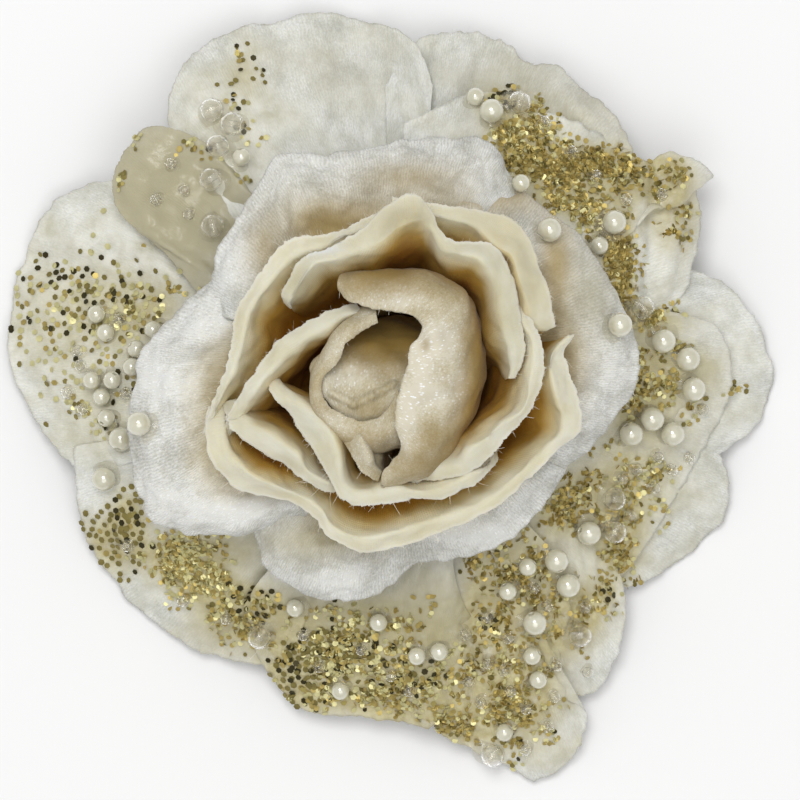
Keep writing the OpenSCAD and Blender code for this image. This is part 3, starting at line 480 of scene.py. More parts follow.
# Patches of glitter: centre x, y, half-widths, flakes, how they tilt, and the shares of pale,
# gold, olive and dark ones
GLITTER = [
    (-51, 11, 12, 9, 210, 0.15, (0.5, 0.15, 0.25, 0.1)),
    (-48, 14, 9, 4, 70, 0.15, (0.5, 0.2, 0.2, 0.1)),
    (-52, 20, 12, 4, 40, 0.12, (0.1, 0.05, 0.45, 0.4)),
    (-40, 15, 4, 4, 40, 0.3, (0.5, 0.3, 0.2, 0)),
    (-48, -4, 5, 5, 50, 0.2, (0.4, 0.2, 0.25, 0.15)),
    (-37, 36, 8, 6, 44, 0.2, (0.45, 0.2, 0.25, 0.1)),
    (-24.5, 54, 2.2, 3, 20, 0.2, (0.1, 0.2, 0.5, 0.2)),
    (-26, 45, 6, 5, 34, 0.3, (0.45, 0.3, 0.15, 0.1)),
    (-46, -24, 4.2, 3.6, 120, 0.1, (0.05, 0.1, 0.75, 0.1)),
    (-44, -19, 2, 3, 30, 0.12, (0, 0, 0.6, 0.4)),
    (-35.5, -27, 4.2, 2.8, 420, 0.4, (0.6, 0.37, 0.03, 0)),
    (-31, -31, 4, 2.4, 220, 0.4, (0.6, 0.37, 0.03, 0)),
    (-24, -34, 3.5, 2.2, 60, 0.15, (0, 0.05, 0.35, 0.6)),
    (-25, -37, 6.5, 3.2, 210, 0.4, (0.4, 0.45, 0.15, 0)),
    (-28, -25, 6, 3, 70, 0.4, (0.4, 0.4, 0.2, 0)),
    (-8, -44, 10, 6, 560, 0.35, (0.45, 0.3, 0.2, 0.05)),
    (-15, -47, 4, 4, 90, 0.12, (0.05, 0.1, 0.65, 0.2)),
    (-13, -44, 3, 2.5, 50, 0.12, (0, 0, 0.4, 0.6)),
    (-8, -41, 4, 2.5, 60, 0.12, (0, 0.05, 0.4, 0.55)),
    (2, -45, 5, 3, 90, 0.15, (0.2, 0.2, 0.2, 0.4)),
    (2, -50, 7, 4, 260, 0.5, (0.4, 0.5, 0.1, 0)),
    (-2, -38, 10, 4, 200, 0.5, (0.45, 0.45, 0.1, 0)),
    (20, -30, 6, 6, 330, 0.7, (0.2, 0.65, 0.15, 0)),
    (20, -41, 7, 7, 340, 0.7, (0.3, 0.6, 0.1, 0)),
    (21, -51, 5, 4, 300, 0.6, (0.25, 0.65, 0.1, 0)),
    (12, -55, 5, 2.5, 150, 0.6, (0.3, 0.6, 0.1, 0)),
    (24, -59, 5, 3, 26, 0.2, (0.3, 0.3, 0.2, 0.2)),
    (31, -36, 4, 4, 150, 0.6, (0.35, 0.55, 0.1, 0)),
    (16, -37, 1.2, 1.2, 12, 0.1, (0, 0, 0.2, 0.8)),
    (36, -32.5, 1, 1, 10, 0.1, (0, 0, 0.3, 0.7)),
    (40, -12, 7, 8, 210, 0.6, (0.5, 0.38, 0.12, 0)),
    (46, 4, 8, 6, 220, 0.4, (0.4, 0.45, 0.15, 0)),
    (41, 2, 3, 4, 150, 0.4, (0.15, 0.65, 0.2, 0)),
    (31, -18, 6, 4, 300, 0.8, (0.2, 0.68, 0.12, 0)),
    (38, -24, 3, 5, 160, 0.7, (0.25, 0.65, 0.1, 0)),
    (18, 49, 2.5, 1.8, 40, 0.3, (0.1, 0.2, 0.3, 0.4)),
    (21, 44, 4, 4, 330, 0.5, (0.3, 0.6, 0.1, 0)),
    (26, 39, 6, 2.6, 520, 0.7, (0.15, 0.65, 0.2, 0)),
    (35, 38.5, 6, 2.4, 400, 0.7, (0.15, 0.65, 0.2, 0)),
    (30, 33.5, 6, 3, 300, 0.5, (0.2, 0.62, 0.18, 0)),
    (36, 29, 3, 5, 220, 0.6, (0.25, 0.65, 0.1, 0)),
    (45, 36.5, 4, 3, 90, 0.7, (0.2, 0.4, 0.4, 0)),
    (47, 30, 3, 5, 60, 0.6, (0.2, 0.5, 0.3, 0)),
    (37.5, 23.5, 1.8, 4, 420, 0.6, (0.2, 0.7, 0.1, 0)),
    (38.5, 17.5, 1.5, 2.5, 120, 0.6, (0.1, 0.7, 0.2, 0)),
    (42, 13, 4, 1.5, 110, 0.5, (0.2, 0.6, 0.2, 0)),
]


def share_of_patches(xy, spread, by_density):
    """How far each place is in the patches of glitter, and how dense they are if asked for."""
    return soft_patches(xy, [
        (x, y, spread * rx, spread * ry, min(1.4, count / (5 * rx * ry)) if by_density else 1)
        for x, y, rx, ry, count, _, _ in GLITTER
    ])


def glue_at(xy):
    """How much clear glue lies at each place: where the glitter is, it is all over."""
    return np.clip(share_of_patches(xy, 1.6, False) + 0.3 * waves(xy, 9, 5) + 0.15, 0, 1)


def stain_at(xy):
    """How far the glue is full of fine gold dust, where the flakes are thickest."""
    return np.clip(share_of_patches(xy, 1.25, True) - 0.15, 0, 0.85)


# -------- materials


class Shader:
    """A short way to build a node material."""

    def __init__(self, name):
        self.material = bpy.data.materials.new(name)
        self.material.use_nodes = True
        self.tree = self.material.node_tree
        self.main = self.tree.nodes["Principled BSDF"]

    def node(self, kind, **settings):
        """A node with its settings; those that start with an underscore are its own properties."""
        made = self.tree.nodes.new("ShaderNode" + kind)
        for key, value in settings.items():
            if key.startswith("_"):
                setattr(made, key[1:], value)
            else:
                self.join(value, made.inputs[key.replace("_", " ")])
        return made

    def join(self, value, socket):
        if isinstance(value, bpy.types.NodeSocket):
            self.tree.links.new(value, socket)
        else:
            socket.default_value = value

    def set(self, **sockets):
        for key, value in sockets.items():
            self.join(value, self.main.inputs[key.replace("_", " ")])

    def cloth_uv(self, x=1.0, y=1.0):
        uv = self.node("UVMap", _uv_map="cloth")
        return self.node("Mapping", Vector=uv.outputs["UV"], Scale=(x, y, 1)).outputs["Vector"]

    def place(self):
        return self.node("TexCoord").outputs["Object"]

    def stretched(self, *scale):
        return self.node("Mapping", Vector=self.place(), Scale=scale).outputs["Vector"]

    def noise(self, vector, scale, detail=3.0, rough=0.55):
        made = self.node("TexNoise", Vector=vector, Scale=scale, Detail=detail, Roughness=rough)
        return made.outputs["Fac"]

    def ramp(self, value, low, high, to_low=0.0, to_high=1.0):
        made = self.node("MapRange", Value=value)
        for i, x in enumerate((low, high, to_low, to_high), start=1):
            made.inputs[i].default_value = x
        return made.outputs["Result"]

    def mix(self, share, a, b):
        made = self.node("Mix", _data_type="RGBA")
        self.join(share, made.inputs[0])
        for socket, colour in ((6, a), (7, b)):
            linked = isinstance(colour, bpy.types.NodeSocket)
            self.join(colour if linked else (*colour, 1), made.inputs[socket])
        return made.outputs[2]

    def pair(self, kind, how, a, b):
        made = self.node(kind, _operation=how)
        self.join(a, made.inputs[0])
        self.join(b, made.inputs[1])
        return made.outputs

    def plus(self, a, b):
        return self.pair("Math", "ADD", a, b)[0]

    def times(self, a, b):
        return self.pair("Math", "MULTIPLY", a, b)[0]

    def bands(self, scale, distortion, direction, **settings):
        made = self.node("TexWave", Vector=self.cloth_uv(), Scale=scale, Distortion=distortion,
                         _wave_type="BANDS", _bands_direction=direction, **settings)
        return made.outputs["Fac"]

    def attribute(self, name):
        return self.node("Attribute", _attribute_name=name).outputs["Fac"]

    def bump(self, height, strength, distance):
        return self.node("Bump", Height=height, Strength=strength, Distance=distance).outputs["Normal"]


def soft_light(weight):
    """The Principled settings for light that passes a few millimetres into the cloth."""
    return dict(Subsurface_Weight=weight, Subsurface_Radius=(0.003, 0.002, 0.001), Subsurface_Scale=1.0)


def velvet(name, dark, light, ribs, deep=None, warm=(0.43, 0.31, 0.11), shine=(0.15, 0.9)):
    """Crushed velvet: a silvery nap with fine ribs, patches, and points of light.

    Deep is the stretch from the rim over which a painted shade turns it to another colour, and that
    colour. Where there is none the velvet carries clear glue, stained by gold dust. The painted golden
    shade is the colour of its golden patches of painted shade, and shine is how much its points of
    light, which are painted glints, show where it is dull and where it is bright.
    """
    s = Shader(name)
    nap = s.noise(s.cloth_uv(1, 0.5), 1700, 3.0)
    patch = s.noise(s.cloth_uv(), 130, 5.0, 0.6)
    rib = s.times(s.bands(560.0, 7.0, "X", Detail=3.0, Detail_Scale=0.8),
                  s.ramp(s.noise(s.cloth_uv(), 260, 3.0), 0.35, 0.6, 0.25, 1))
    cells = s.node("TexVoronoi", Vector=s.cloth_uv(1, 0.55), Scale=3300.0)
    chosen = s.ramp(s.node("SeparateColor", Color=cells.outputs["Color"]).outputs[0], 0.6, 0.95)
    point = s.times(chosen, s.ramp(cells.outputs["Distance"], 0.25, 0.6, 1, 0))
    fine = s.noise(s.cloth_uv(1, 0.6), 4200, 2.0)
    tone = s.plus(s.ramp(nap, 0.35, 0.65, 0, 0.25), s.ramp(patch, 0.38, 0.62, 0, 0.55))
    tone = s.plus(tone, s.ramp(fine, 0.35, 0.65, -0.15, 0.2))
    tone = s.plus(tone, s.ramp(rib, 0.1, 0.9, 0, 0.3 * ribs))
    # painted sheen: the silvery patches lighten the velvet, as if its nap caught the light
    silver = s.attribute("silver")
    colour = s.mix(s.plus(tone, silver), dark, light)
    # painted glints: points of light painted into the colour, brighter on light patches and on the painted
    # sheen
    lit = s.plus(s.ramp(patch, 0.42, 0.6, *shine), silver)
    colour = s.mix(s.times(point, lit), colour, (0.95, 0.95, 0.93))
    # painted shade: over the stretch below the rim the velvet turns to the colour of the shade deep in the
    # flower
    if deep:
        shade_start, shade_end, painted_shade_colour = deep
        colour = s.mix(s.ramp(s.attribute("from_rim"), shade_start, shade_end), colour, painted_shade_colour)
    else:
        wet = s.attribute("glue")
        film = s.noise(s.place(), 230, 4.0, 0.6)
        yellow = s.mix(s.ramp(film, 0.35, 0.65), (0.60, 0.57, 0.42), (0.88, 0.86, 0.75))
        colour = s.mix(s.times(wet, 0.7), colour, yellow)
        cloud = s.noise(s.place(), 420, 4.0)
        stain = s.times(s.attribute("stain"), s.ramp(cloud, 0.25, 0.5, 0.4, 1))
        dust = s.mix(s.ramp(cloud, 0.4, 0.65), (0.40, 0.32, 0.10), (0.60, 0.53, 0.28))
        colour = s.mix(stain, colour, dust)
        s.set(Coat_Weight=s.times(wet, 0.55), Coat_Roughness=0.22, Coat_Normal=s.bump(film, 0.6, 0.0012))
    # painted shade: the golden patches turn the velvet golden brown where it lies in shade
    colour = s.mix(s.attribute("warm"), colour, warm)
    colour = s.mix(s.attribute("shade"), colour, (0.40, 0.36, 0.22))
    height = s.plus(s.times(nap, 0.6), s.times(rib, 0.5 * ribs))
    s.set(Base_Color=colour, Roughness=s.ramp(nap, 0.3, 0.7, 0.7, 0.4), Normal=s.bump(height, 0.6, 0.00012),
          Specular_IOR_Level=0.3, Sheen_Weight=0.1, Sheen_Roughness=0.4, **soft_light(0.1))
    return s.material


def cream_cloth(name, low, high, edge_colour):
    """Matte stiffened cloth with a fine plain weave, and painted shade that turns it brown where it is deep
    and faces the axis.
    """
    s = Shader(name)
    rim = s.attribute("from_rim")
    colour = s.mix(s.ramp(s.noise(s.cloth_uv(), 120, 3.0), 0.3, 0.7), low, high)
    colour = s.mix(s.times(s.ramp(rim, 0.0, 0.0008, 1, 0), 0.5), colour, edge_colour)
    heart = (AXIS[0] * MM, AXIS[1] * MM, 40 * MM)
    from_axis = s.pair("VectorMath", "SUBTRACT", s.place(), heart)["Vector"]
    normal = s.node("NewGeometry").outputs["Normal"]
    outward = s.pair("VectorMath", "DOT_PRODUCT", from_axis, normal)["Value"]
    inside = s.ramp(outward, 0.0, 0.006, 1, 0.25)
    # painted shade: golden brown, then dark brown, further below the rim on the faces that look in to the
    # axis
    for start, end, painted_shade_brown in ((0.003, 0.010, (0.54, 0.345, 0.075)), (0.007, 0.016, (0.27, 0.115, 0.008))):
        colour = s.mix(s.times(s.ramp(rim, start, end), inside), colour, painted_shade_brown)
    # painted shade: the golden patches turn the cream cloth tan where it lies in shade
    colour = s.mix(s.attribute("warm"), colour, (0.42, 0.34, 0.17))
    # the silvery patches on the cream cloth are the silvery reverse of the cloth
    colour = s.mix(s.attribute("silver"), colour, (0.90, 0.90, 0.87))
    weave = s.times(s.bands(900.0, 0.6, "X"), s.bands(900.0, 0.6, "Y"))
    height = s.plus(weave, s.noise(s.cloth_uv(), 2600, 2.0))
    s.set(Base_Color=colour, Roughness=0.82, Normal=s.bump(height, 0.5, 0.00008),
          Specular_IOR_Level=0.1, Sheen_Weight=0.02, Sheen_Roughness=0.5, **soft_light(0.3))
    return s.material


def metal(name, colour, rough, streaks=0.25):
    """Rolled steel with worn patches and fine drawing lines, whose bump is as strong as streaks."""
    s = Shader(name)
    lines = s.noise(s.stretched(40, 2600, 2600), 1.0, 2.0)
    patch = s.noise(s.place(), 300, 4.0)
    dark = tuple(0.72 * c for c in colour)
    worn = s.ramp(patch, 0.3, 0.7, rough, rough + 0.12)
    s.set(Base_Color=s.mix(s.ramp(patch, 0.35, 0.65), dark, colour), Metallic=1.0,
          Roughness=s.plus(worn, s.ramp(lines, 0.3, 0.7, 0, 0.12)), Normal=s.bump(lines, streaks, 0.00002))
    return s.material


def flake(name, colour, rough):
    s = Shader(name)
    vary = s.noise(s.place(), 700, 1.0)
    light = tuple(min(1.0, 1.35 * c) for c in colour)
    s.set(Base_Color=s.mix(s.ramp(vary, 0.3, 0.7), colour, light), Metallic=0.75, Roughness=rough)
    return s.material


def pearl_coat():
    s = Shader("pearl coat")
    swirl = s.ramp(s.noise(s.place(), 500, 3.0), 0.3, 0.7)
    s.set(Base_Color=s.mix(swirl, (0.60, 0.575, 0.42), (0.72, 0.70, 0.56)), Roughness=0.16,
          Coat_Weight=1.0, Coat_Roughness=0.05, Coat_IOR=2.1, Sheen_Weight=0.1, Specular_IOR_Level=0.8,
          Subsurface_Weight=0.15, Subsurface_Radius=(0.001, 0.0008, 0.0006), Subsurface_Scale=1.0)
    return s.material


def clear_glass():
    s = Shader("clear bead")
    ripple = s.noise(s.place(), 900, 2.0)
    s.set(Base_Color=(0.95, 0.93, 0.85, 1), Roughness=0.05, Transmission_Weight=0.9, IOR=1.22,
          Alpha=0.55, Normal=s.bump(ripple, 0.3, 0.0002), Coat_Weight=1.0, Coat_Roughness=0.03)
    return s.material


def felt(name, colour):
    s = Shader(name)
    fibre = s.noise(s.stretched(1, 3, 1), 900, 5.0, 0.7)
    cloud = s.noise(s.place(), 120, 3.0)
    dark = tuple(0.78 * c for c in colour)
    tone = s.plus(s.ramp(fibre, 0.3, 0.7, 0, 0.7), s.ramp(cloud, 0.3, 0.7, 0, 0.3))
    s.set(Base_Color=s.mix(tone, dark, colour), Roughness=0.95, Sheen_Weight=0.4, Sheen_Roughness=0.6,
          Specular_IOR_Level=0.1, Normal=s.bump(fibre, 0.8, 0.0004))
    return s.material


def moulded(name, colour):
    s = Shader(name)
    grain = s.noise(s.place(), 2000, 2.0)
    cloud = s.noise(s.place(), 150, 2.0)
    dark = tuple(0.8 * c for c in colour)
    s.set(Base_Color=s.mix(s.ramp(cloud, 0.3, 0.7), dark, colour), Roughness=0.55,
          Normal=s.bump(grain, 0.25, 0.00005))
    return s.material


VELVET_OUTER = velvet("velvet outer", (0.52, 0.52, 0.46), (0.87, 0.87, 0.82), 0.7)
# the middle and bud velvets get painted shade deep in the flower; the bud's golden patches of painted shade
# are darker and its painted glints are duller
VELVET_WHITE = velvet("velvet white", (0.41, 0.405, 0.36), (0.80, 0.795, 0.745), 1.1,
                      deep=(0.010, 0.022, (0.56, 0.43, 0.18)))
VELVET_BUD = velvet("velvet bud", (0.42, 0.345, 0.19), (0.69, 0.635, 0.50), 0.12,
                    deep=(0.008, 0.016, (0.36, 0.23, 0.06)), warm=(0.27, 0.18, 0.05), shine=(0.1, 0.55))
CREAM = cream_cloth("cream cloth", (0.71, 0.64, 0.45), (0.84, 0.79, 0.62), (0.90, 0.87, 0.77))

# Each ring's cloth: points across and up, the height of its ruffles, wrinkles and fine creases, the
# wavelength of the wrinkles, how rough and uneven its cut edge is, and how thick it is
STYLES = {
    "outer": dict(across=150, up=80, ruffle=1.2, wrinkle=0.34, wave=9, fine=0.12, fray=0.07,
                  uneven=0.2, thick=CLOTH_T, glued=True),
    "middle": dict(across=150, up=76, ruffle=1.0, wrinkle=0.34, wave=6, fine=0.13, fray=0.06,
                   uneven=0.2, thick=CLOTH_T),
    "inner": dict(across=210, up=80, ruffle=0.3, wrinkle=0.17, wave=5, fine=0.05, fray=0.08,
                  uneven=0.14, thick=0.36),
    "bud": dict(across=150, up=80, ruffle=0.25, wrinkle=0.22, wave=5, fine=0.05, fray=0.05,
                uneven=0.1, thick=CLOTH_T),
}


def flower():
    """Every petal, and by its name the grid that the trim is laid on."""
    made = {}
    for group, style, seed, material, slot in (
        (OUTER, "outer", 500, VELVET_OUTER, "velvet_outer"),
        (MIDDLE, "middle", 600, VELVET_WHITE, "velvet_white"),
        (INNER, "inner", 500, CREAM, "satin_cream"),
        (BUD, "bud", 300, VELVET_BUD, "velvet_bud"),
    ):
        for i, p in enumerate(group):
            made[p["name"]] = cloth_piece(p, STYLES[style], seed + 7 * i, material)
    return made


petals = flower()

# -------- laying trim on the petals


def tree_of(group):
    """One search tree of the plain sheets of those petals, in millimetres."""
    points, faces = [], []
    for p in group:
        grid = petals[p["name"]]
        faces += (quads_of(*grid.shape[:2]) + len(points)).tolist()
        points += grid.reshape(-1, 3).tolist()
    return BVHTree.FromPolygons(points, faces)


TRIMMED_TREE = tree_of(OUTER + MIDDLE)
OUTER_TREE = tree_of(OUTER)
SKY = 80  # rays start above the whole flower
SETTLE = 4  # how often a bead's foot is moved until its centre is over its point


def top_of(x, y, tree=TRIMMED_TREE):
    """(place, normal) of the cloth under that point, or None where there is none."""
    hit, normal, _, _ = tree.ray_cast(Vector((x, y, SKY)), Vector((0, 0, -1)))
    if hit is None:
        return None
    return hit, normal if normal.z > 0 else -normal


def seat(x, y, height):
    """(place, normal) of the cloth from which a bead of that height stands over the point."""
    found = top_of(x, y)
    for _ in range(SETTLE):
        if found is None:
            break
        found = top_of(x - found[1].x * height, y - found[1].y * height) or found
    return found


# Flakes that tilt less than this lie flat, at least so far apart; the others lie in clumps
FLAT = 0.2
SIDE_BY_SIDE = 0.98
CLUMP = 0.95
# How far a patch spreads, as a share of its half-widths
SPREAD = 0.62
# The radii of flat and of tilted flakes, and the thickness of the foil
FLAT_RADII = (0.48, 0.6)
TILTED_RADII = (0.38, 0.56)
FOIL = 0.04


def scattered(rng, x, y, rx, ry, count, tilting):
    """Where the flakes of a patch lie: flat ones side by side, and tilted ones in clumps."""
    def spot():
        return x + rx * rng.normal(0, SPREAD), y + ry * rng.normal(0, SPREAD)

    if tilting >= FLAT:
        clumps = [spot() for _ in range(max(4, count // 10))]
        chosen = rng.integers(len(clumps), size=count)
        return [(clumps[i][0] + rng.normal(0, CLUMP), clumps[i][1] + rng.normal(0, CLUMP))
                for i in chosen]
    kept = []
    for _ in range(4 * count):
        place = spot()
        if len(kept) < count and all(math.dist(place, other) > SIDE_BY_SIDE for other in kept):
            kept.append(place)
    return kept


def glitter():
    """Hexagonal foil flakes, set in the glue at small random tilts."""
    rng = np.random.default_rng(11)
    edges = quads_of(2, 6, closed=True)
    points, faces, kind_of_face = [], [], []
    for x, y, rx, ry, count, tilting, shares in GLITTER:
        for fx, fy in scattered(rng, x, y, rx, ry, count, tilting):
            found = top_of(fx, fy, OUTER_TREE)
            # none where there is no outer petal, or a middle one covers it
            if found is None or top_of(fx, fy)[0].z > found[0].z + 1:
                continue
            hit, normal = found
            n = (normal + Vector(rng.normal(0, tilting, 3))).normalized()
            side = n.orthogonal().normalized()
            other = n.cross(side)
            turn = rng.uniform(0, math.pi)
            radius = rng.uniform(*(FLAT_RADII if tilting < FLAT else TILTED_RADII))
            centre = hit + normal * (CLOTH_T / 2 + 0.06 + rng.uniform(0, 0.25))
            start = len(points)
            for level in (-FOIL / 2, FOIL / 2):
                for k in range(6):
                    a = turn + k * math.pi / 3
                    corner = (side * math.cos(a) + other * math.sin(a)) * radius
                    points.append(centre + n * level + corner)
            faces.append(list(range(start + 5, start - 1, -1)))
            faces.append(list(range(start + 6, start + 12)))
            faces += (edges + start).tolist()
            kind_of_face += [int(rng.choice(4, p=shares))] * 8
    kinds = [
        flake("pale gold foil", (0.58, 0.54, 0.28), 0.5),
        flake("gold foil", (0.42, 0.33, 0.11), 0.5),
        flake("olive foil", (0.23, 0.19, 0.06), 0.45),
        flake("dark foil", (0.05, 0.042, 0.016), 0.35),
    ]
    merged("glitter_flakes", points, faces, kinds, of_face=kind_of_face)


glitter()

PEARL = pearl_coat()
GLASS = clear_glass()


def ball(radius, hole, rings=18, around=28):
    """Points and faces of a drilled bead, turned about its hole from its outer round and its bore."""
    start = math.asin(hole / radius)
    profile = [(radius * math.sin(a), radius * math.cos(a))
               for a in np.linspace(start, math.pi - start, rings)]
    bore, end = hole * 0.92, radius * math.cos(start) * 0.9
    profile += [(bore, -end), (bore, end)]
    turn = np.linspace(0, 2 * math.pi, around, endpoint=False)
    points = [Vector((r * math.cos(t), r * math.sin(t), z)) for r, z in profile for t in turn]
    # the profile is closed, so the last ring of quads comes back to the first points
    faces = quads_of(len(profile) + 1, around, closed=True) % len(points)
    return points, faces


def standing(diameter):
    """How high the centre of a bead stands over the middle of the cloth that it is glued to."""
    return CLOTH_T / 2 + diameter * 0.47


def beads(name, node, places, diameter, hole, material, slot, seed):
    """Drilled beads in the glue, each with its hole at its own slant."""
    rng = np.random.default_rng(seed)
    shape, shape_faces = ball(diameter / 2, hole)
    points, faces = [], []
    height = standing(diameter)
    for x, y in places:
        found = seat(x, y, height)
        if found is None:
            continue
        hit, normal = found
        slant = Vector((rng.normal(), rng.normal(), rng.normal(0, 0.35))).normalized()
        turned = slant.to_track_quat("Z", "Y").to_matrix()
        faces += (shape_faces + len(points)).tolist()
        points += [hit + normal * height + turned @ q for q in shape]
    merged(name, points, faces, [material], stands_for=[node], smooth=True)


PEARLS_LARGE = [
    (-45.5, -6.5), (-41, -4.5), (-48, -13.5), (17, 47), (26, 27.5), (36.5, 29), (37.5, 12),
    (45.5, 9.5), (49.5, 6.5), (50.5, 1.5), (40, -6), (43.5, -3.5), (47, -6), (33, -22.5),
    (27.5, -27), (29.5, -31.2), (24, -38),
]
PEARLS_SMALL = [
    (-49.5, 14), (-47.5, 11), (-39.6, 11.4), (-42.4, 8.2), (-50, 3), (-46.5, 3), (-43.2, 5.2),
    (-48.5, 0), (-47.5, -3.3), (-24.8, 40), (14, 50), (21, 35.5), (34.5, 25.4), (22.5, -28),
    (20, -32), (23.5, -43), (24, -47), (19, -56), (4.5, -43), (8, -42.2), (-2, -37),
    (-8.5, -49), (-16, -35),
]
BEADS = [
    (-30, 48), (-26.4, 45.6), (-29.5, 36.4), (-29, 41), (-29.5, 28.5), (21.3, 49), (41.4, 15),
    (37.3, -22.3), (36.4, -16.5), (31, -40), (-22, -40), (17, -60),
]
SEEDS = [
    (-52, 8), (-54, 1), (-52, 5.5), (-44.3, 0.8), (-51.3, -1.6), (-45.4, 13.2), (-39, 33),
    (-36.5, 39), (-33.5, 30.5), (-34.2, 34.5), (30, 41), (34, 37), (45, 34), (39, 33),
    (25.5, 46), (50, -10), (47, -12), (44, -15), (41, -12), (38.5, -13.5), (44.3, -9.5),
    (52.2, -2), (40, -19.5), (32.5, -35), (26, -34.6), (19.5, -40), (16, -44), (20, -49),
    (15, -51), (26, -55), (22.5, -59), (16, -36.5), (28, -44.5), (18.8, -45.5), (22.5, -52),
    (27.3, -50), (13, -47.3), (33, -46), (12.5, -39.5), (23.8, -31.6), (0, -46), (-5, -42),
    (-12, -45), (3, -49), (-14.5, -39.5), (-35, -34), (-44, -25), (-28, -37),
]

# Piece, CAD node, places, diameter, radius of the hole, material, slot and seed
TRIM = [
    ("large_pearl_beads", "pearls_large", PEARLS_LARGE, 4.0, 0.45, PEARL, "pearl", 21),
    ("small_pearl_beads", "pearls_small", PEARLS_SMALL, 3.0, 0.4, PEARL, "pearl", 22),
    ("clear_glass_beads", "glass_beads", BEADS, 4.0, 0.7, GLASS, "clear_bead", 23),
    ("clear_seed_beads", "seed_beads", SEEDS, 2.0, 0.45, GLASS, "clear_bead", 24),
]
for row in TRIM:
    beads(*row)

# -------- glue and threads


def clear_glue():
    s = Shader("clear glue")
    film = s.noise(s.place(), 400, 3.0)
    s.set(Base_Color=s.mix(film, (0.60, 0.55, 0.38), (0.80, 0.77, 0.64)), Roughness=0.2,
          Transmission_Weight=0.6, IOR=1.3, Alpha=0.4, Normal=s.bump(film, 0.6, 0.0006),
          Coat_Weight=0.8, Coat_Roughness=0.08)
    return s.material


def fillets():
    """A low, uneven ring of glue round the foot of each pearl and bead."""
    rng = np.random.default_rng(31)
    points, faces = [], []
    around = 22
    # how wide and how high each ring of the glue is, as shares of the bead's radius
    rings = ((1.0, 0.1), (0.86, 0.26), (0.66, 0.5), (0.5, 0.62))
    for _, _, places, diameter, *_ in TRIM:
        radius = diameter / 2
        for x, y in places:
            found = seat(x, y, standing(diameter))
            if found is None:
                continue
            hit, normal = found
            side = normal.orthogonal().normalized()
            other = normal.cross(side)
            spread = rng.uniform(1.15, 1.45)
            spread = spread + 0.12 * waves(np.arange(around)[:, None] * 1.0, 9, int(rng.integers(999)))
            faces += (quads_of(len(rings), around, closed=True) + len(points)).tolist()
            for share, height in rings:
                for k in range(around):
                    a = 2 * math.pi * k / around
                    out = (side * math.cos(a) + other * math.sin(a)) * radius * share * spread[k]
                    points.append(hit + out + normal * (height * radius * 0.9))
    merged("glue_fillets", points, faces, [clear_glue()], smooth=True)


fillets()


def strand(points, faces, foot, aim, bend, length, side, lift, thick, taper=0.0):
    """Adds a fine curved strand: four rings of three points, side and lift giving their plane."""
    faces.extend((quads_of(4, 3, closed=True) + len(points)).tolist())
    for r in range(4):
        share = r / 3
        centre = foot + length * share * (aim + bend * share)
        for k in range(3):
            a = 2 * math.pi * k / 3
            ring = side * math.cos(a) + lift * math.sin(a)
            points.append(centre + thick * (1 - taper * share) * ring)


def threads(name, groups, colour, seed):
    """Short loose threads along the cut edges: (petals, threads per millimetre, shortest, longest)."""
    rng = np.random.default_rng(seed)
    points, faces = [], []
    for group, per_mm, shortest, longest in groups:
        for p in group:
            grid = petals[p["name"]]
            rim, below = grid[-1], grid[-3]
            around = np.linalg.norm(np.diff(rim, axis=0), axis=1).sum()
            for at in rng.uniform(0, len(rim) - 1.001, int(around * per_mm)):
                i, t = int(at), at % 1
                place = rim[i] * (1 - t) + rim[i + 1] * t
                out = unit(rim[i] - below[i]) + rng.normal(0, 0.45, 3)
                bend = rng.normal(0, 0.7, 3)
                length = shortest + (longest - shortest) * rng.random() ** 3
                thick = rng.uniform(0.02, 0.045)
                side = unit(np.cross(out, (0.3, 0.2, 1.0)))
                lift = unit(np.cross(out, side))
                strand(points, faces, place - 0.15 * out, out, bend, length, side, lift, thick, 0.5)
                faces.append([len(points) - 3 + k for k in range(3)])
    s = Shader(name)
    s.set(Base_Color=(*colour, 1), Roughness=0.7, Sheen_Weight=0.2)
    merged(name, points, faces, [s.material])


threads("loose_threads_cream", [(INNER, 3.5, 0.15, 0.9), (INNER, 0.03, 1.0, 3.0), (BUD, 1.5, 0.15, 0.7)],
        (0.84, 0.81, 0.70), 41)
threads("loose_threads_white", [(OUTER, 2.2, 0.12, 0.6), (MIDDLE, 2.0, 0.12, 0.7), (OUTER, 0.02, 1.0, 2.5)],
        (0.80, 0.79, 0.73), 42)

# -------- felt and foam

FELT = felt("white felt", (0.84, 0.82, 0.76))
FELT_RADIUS = 20.0
FELT_Z = 13.75


def felt_piece(name, grid, thick, stands_for):
    """A piece of felt that stands for a CAD node; a disc's coinciding points become one."""
    rows, columns = grid.shape[:2]
    u, v = np.meshgrid(np.linspace(0, 1, columns), np.linspace(0, 1, rows))
    mesh, _, _ = mesh_of_grid(name, grid, u, v)
    work = bmesh.new()
    work.from_mesh(mesh)
    bmesh.ops.remove_doubles(work, verts=work.verts, dist=1e-6)
    work.to_mesh(mesh)
    work.free()
    mesh.materials.append(FELT)
    obj = placed(mesh, [stands_for], thick)


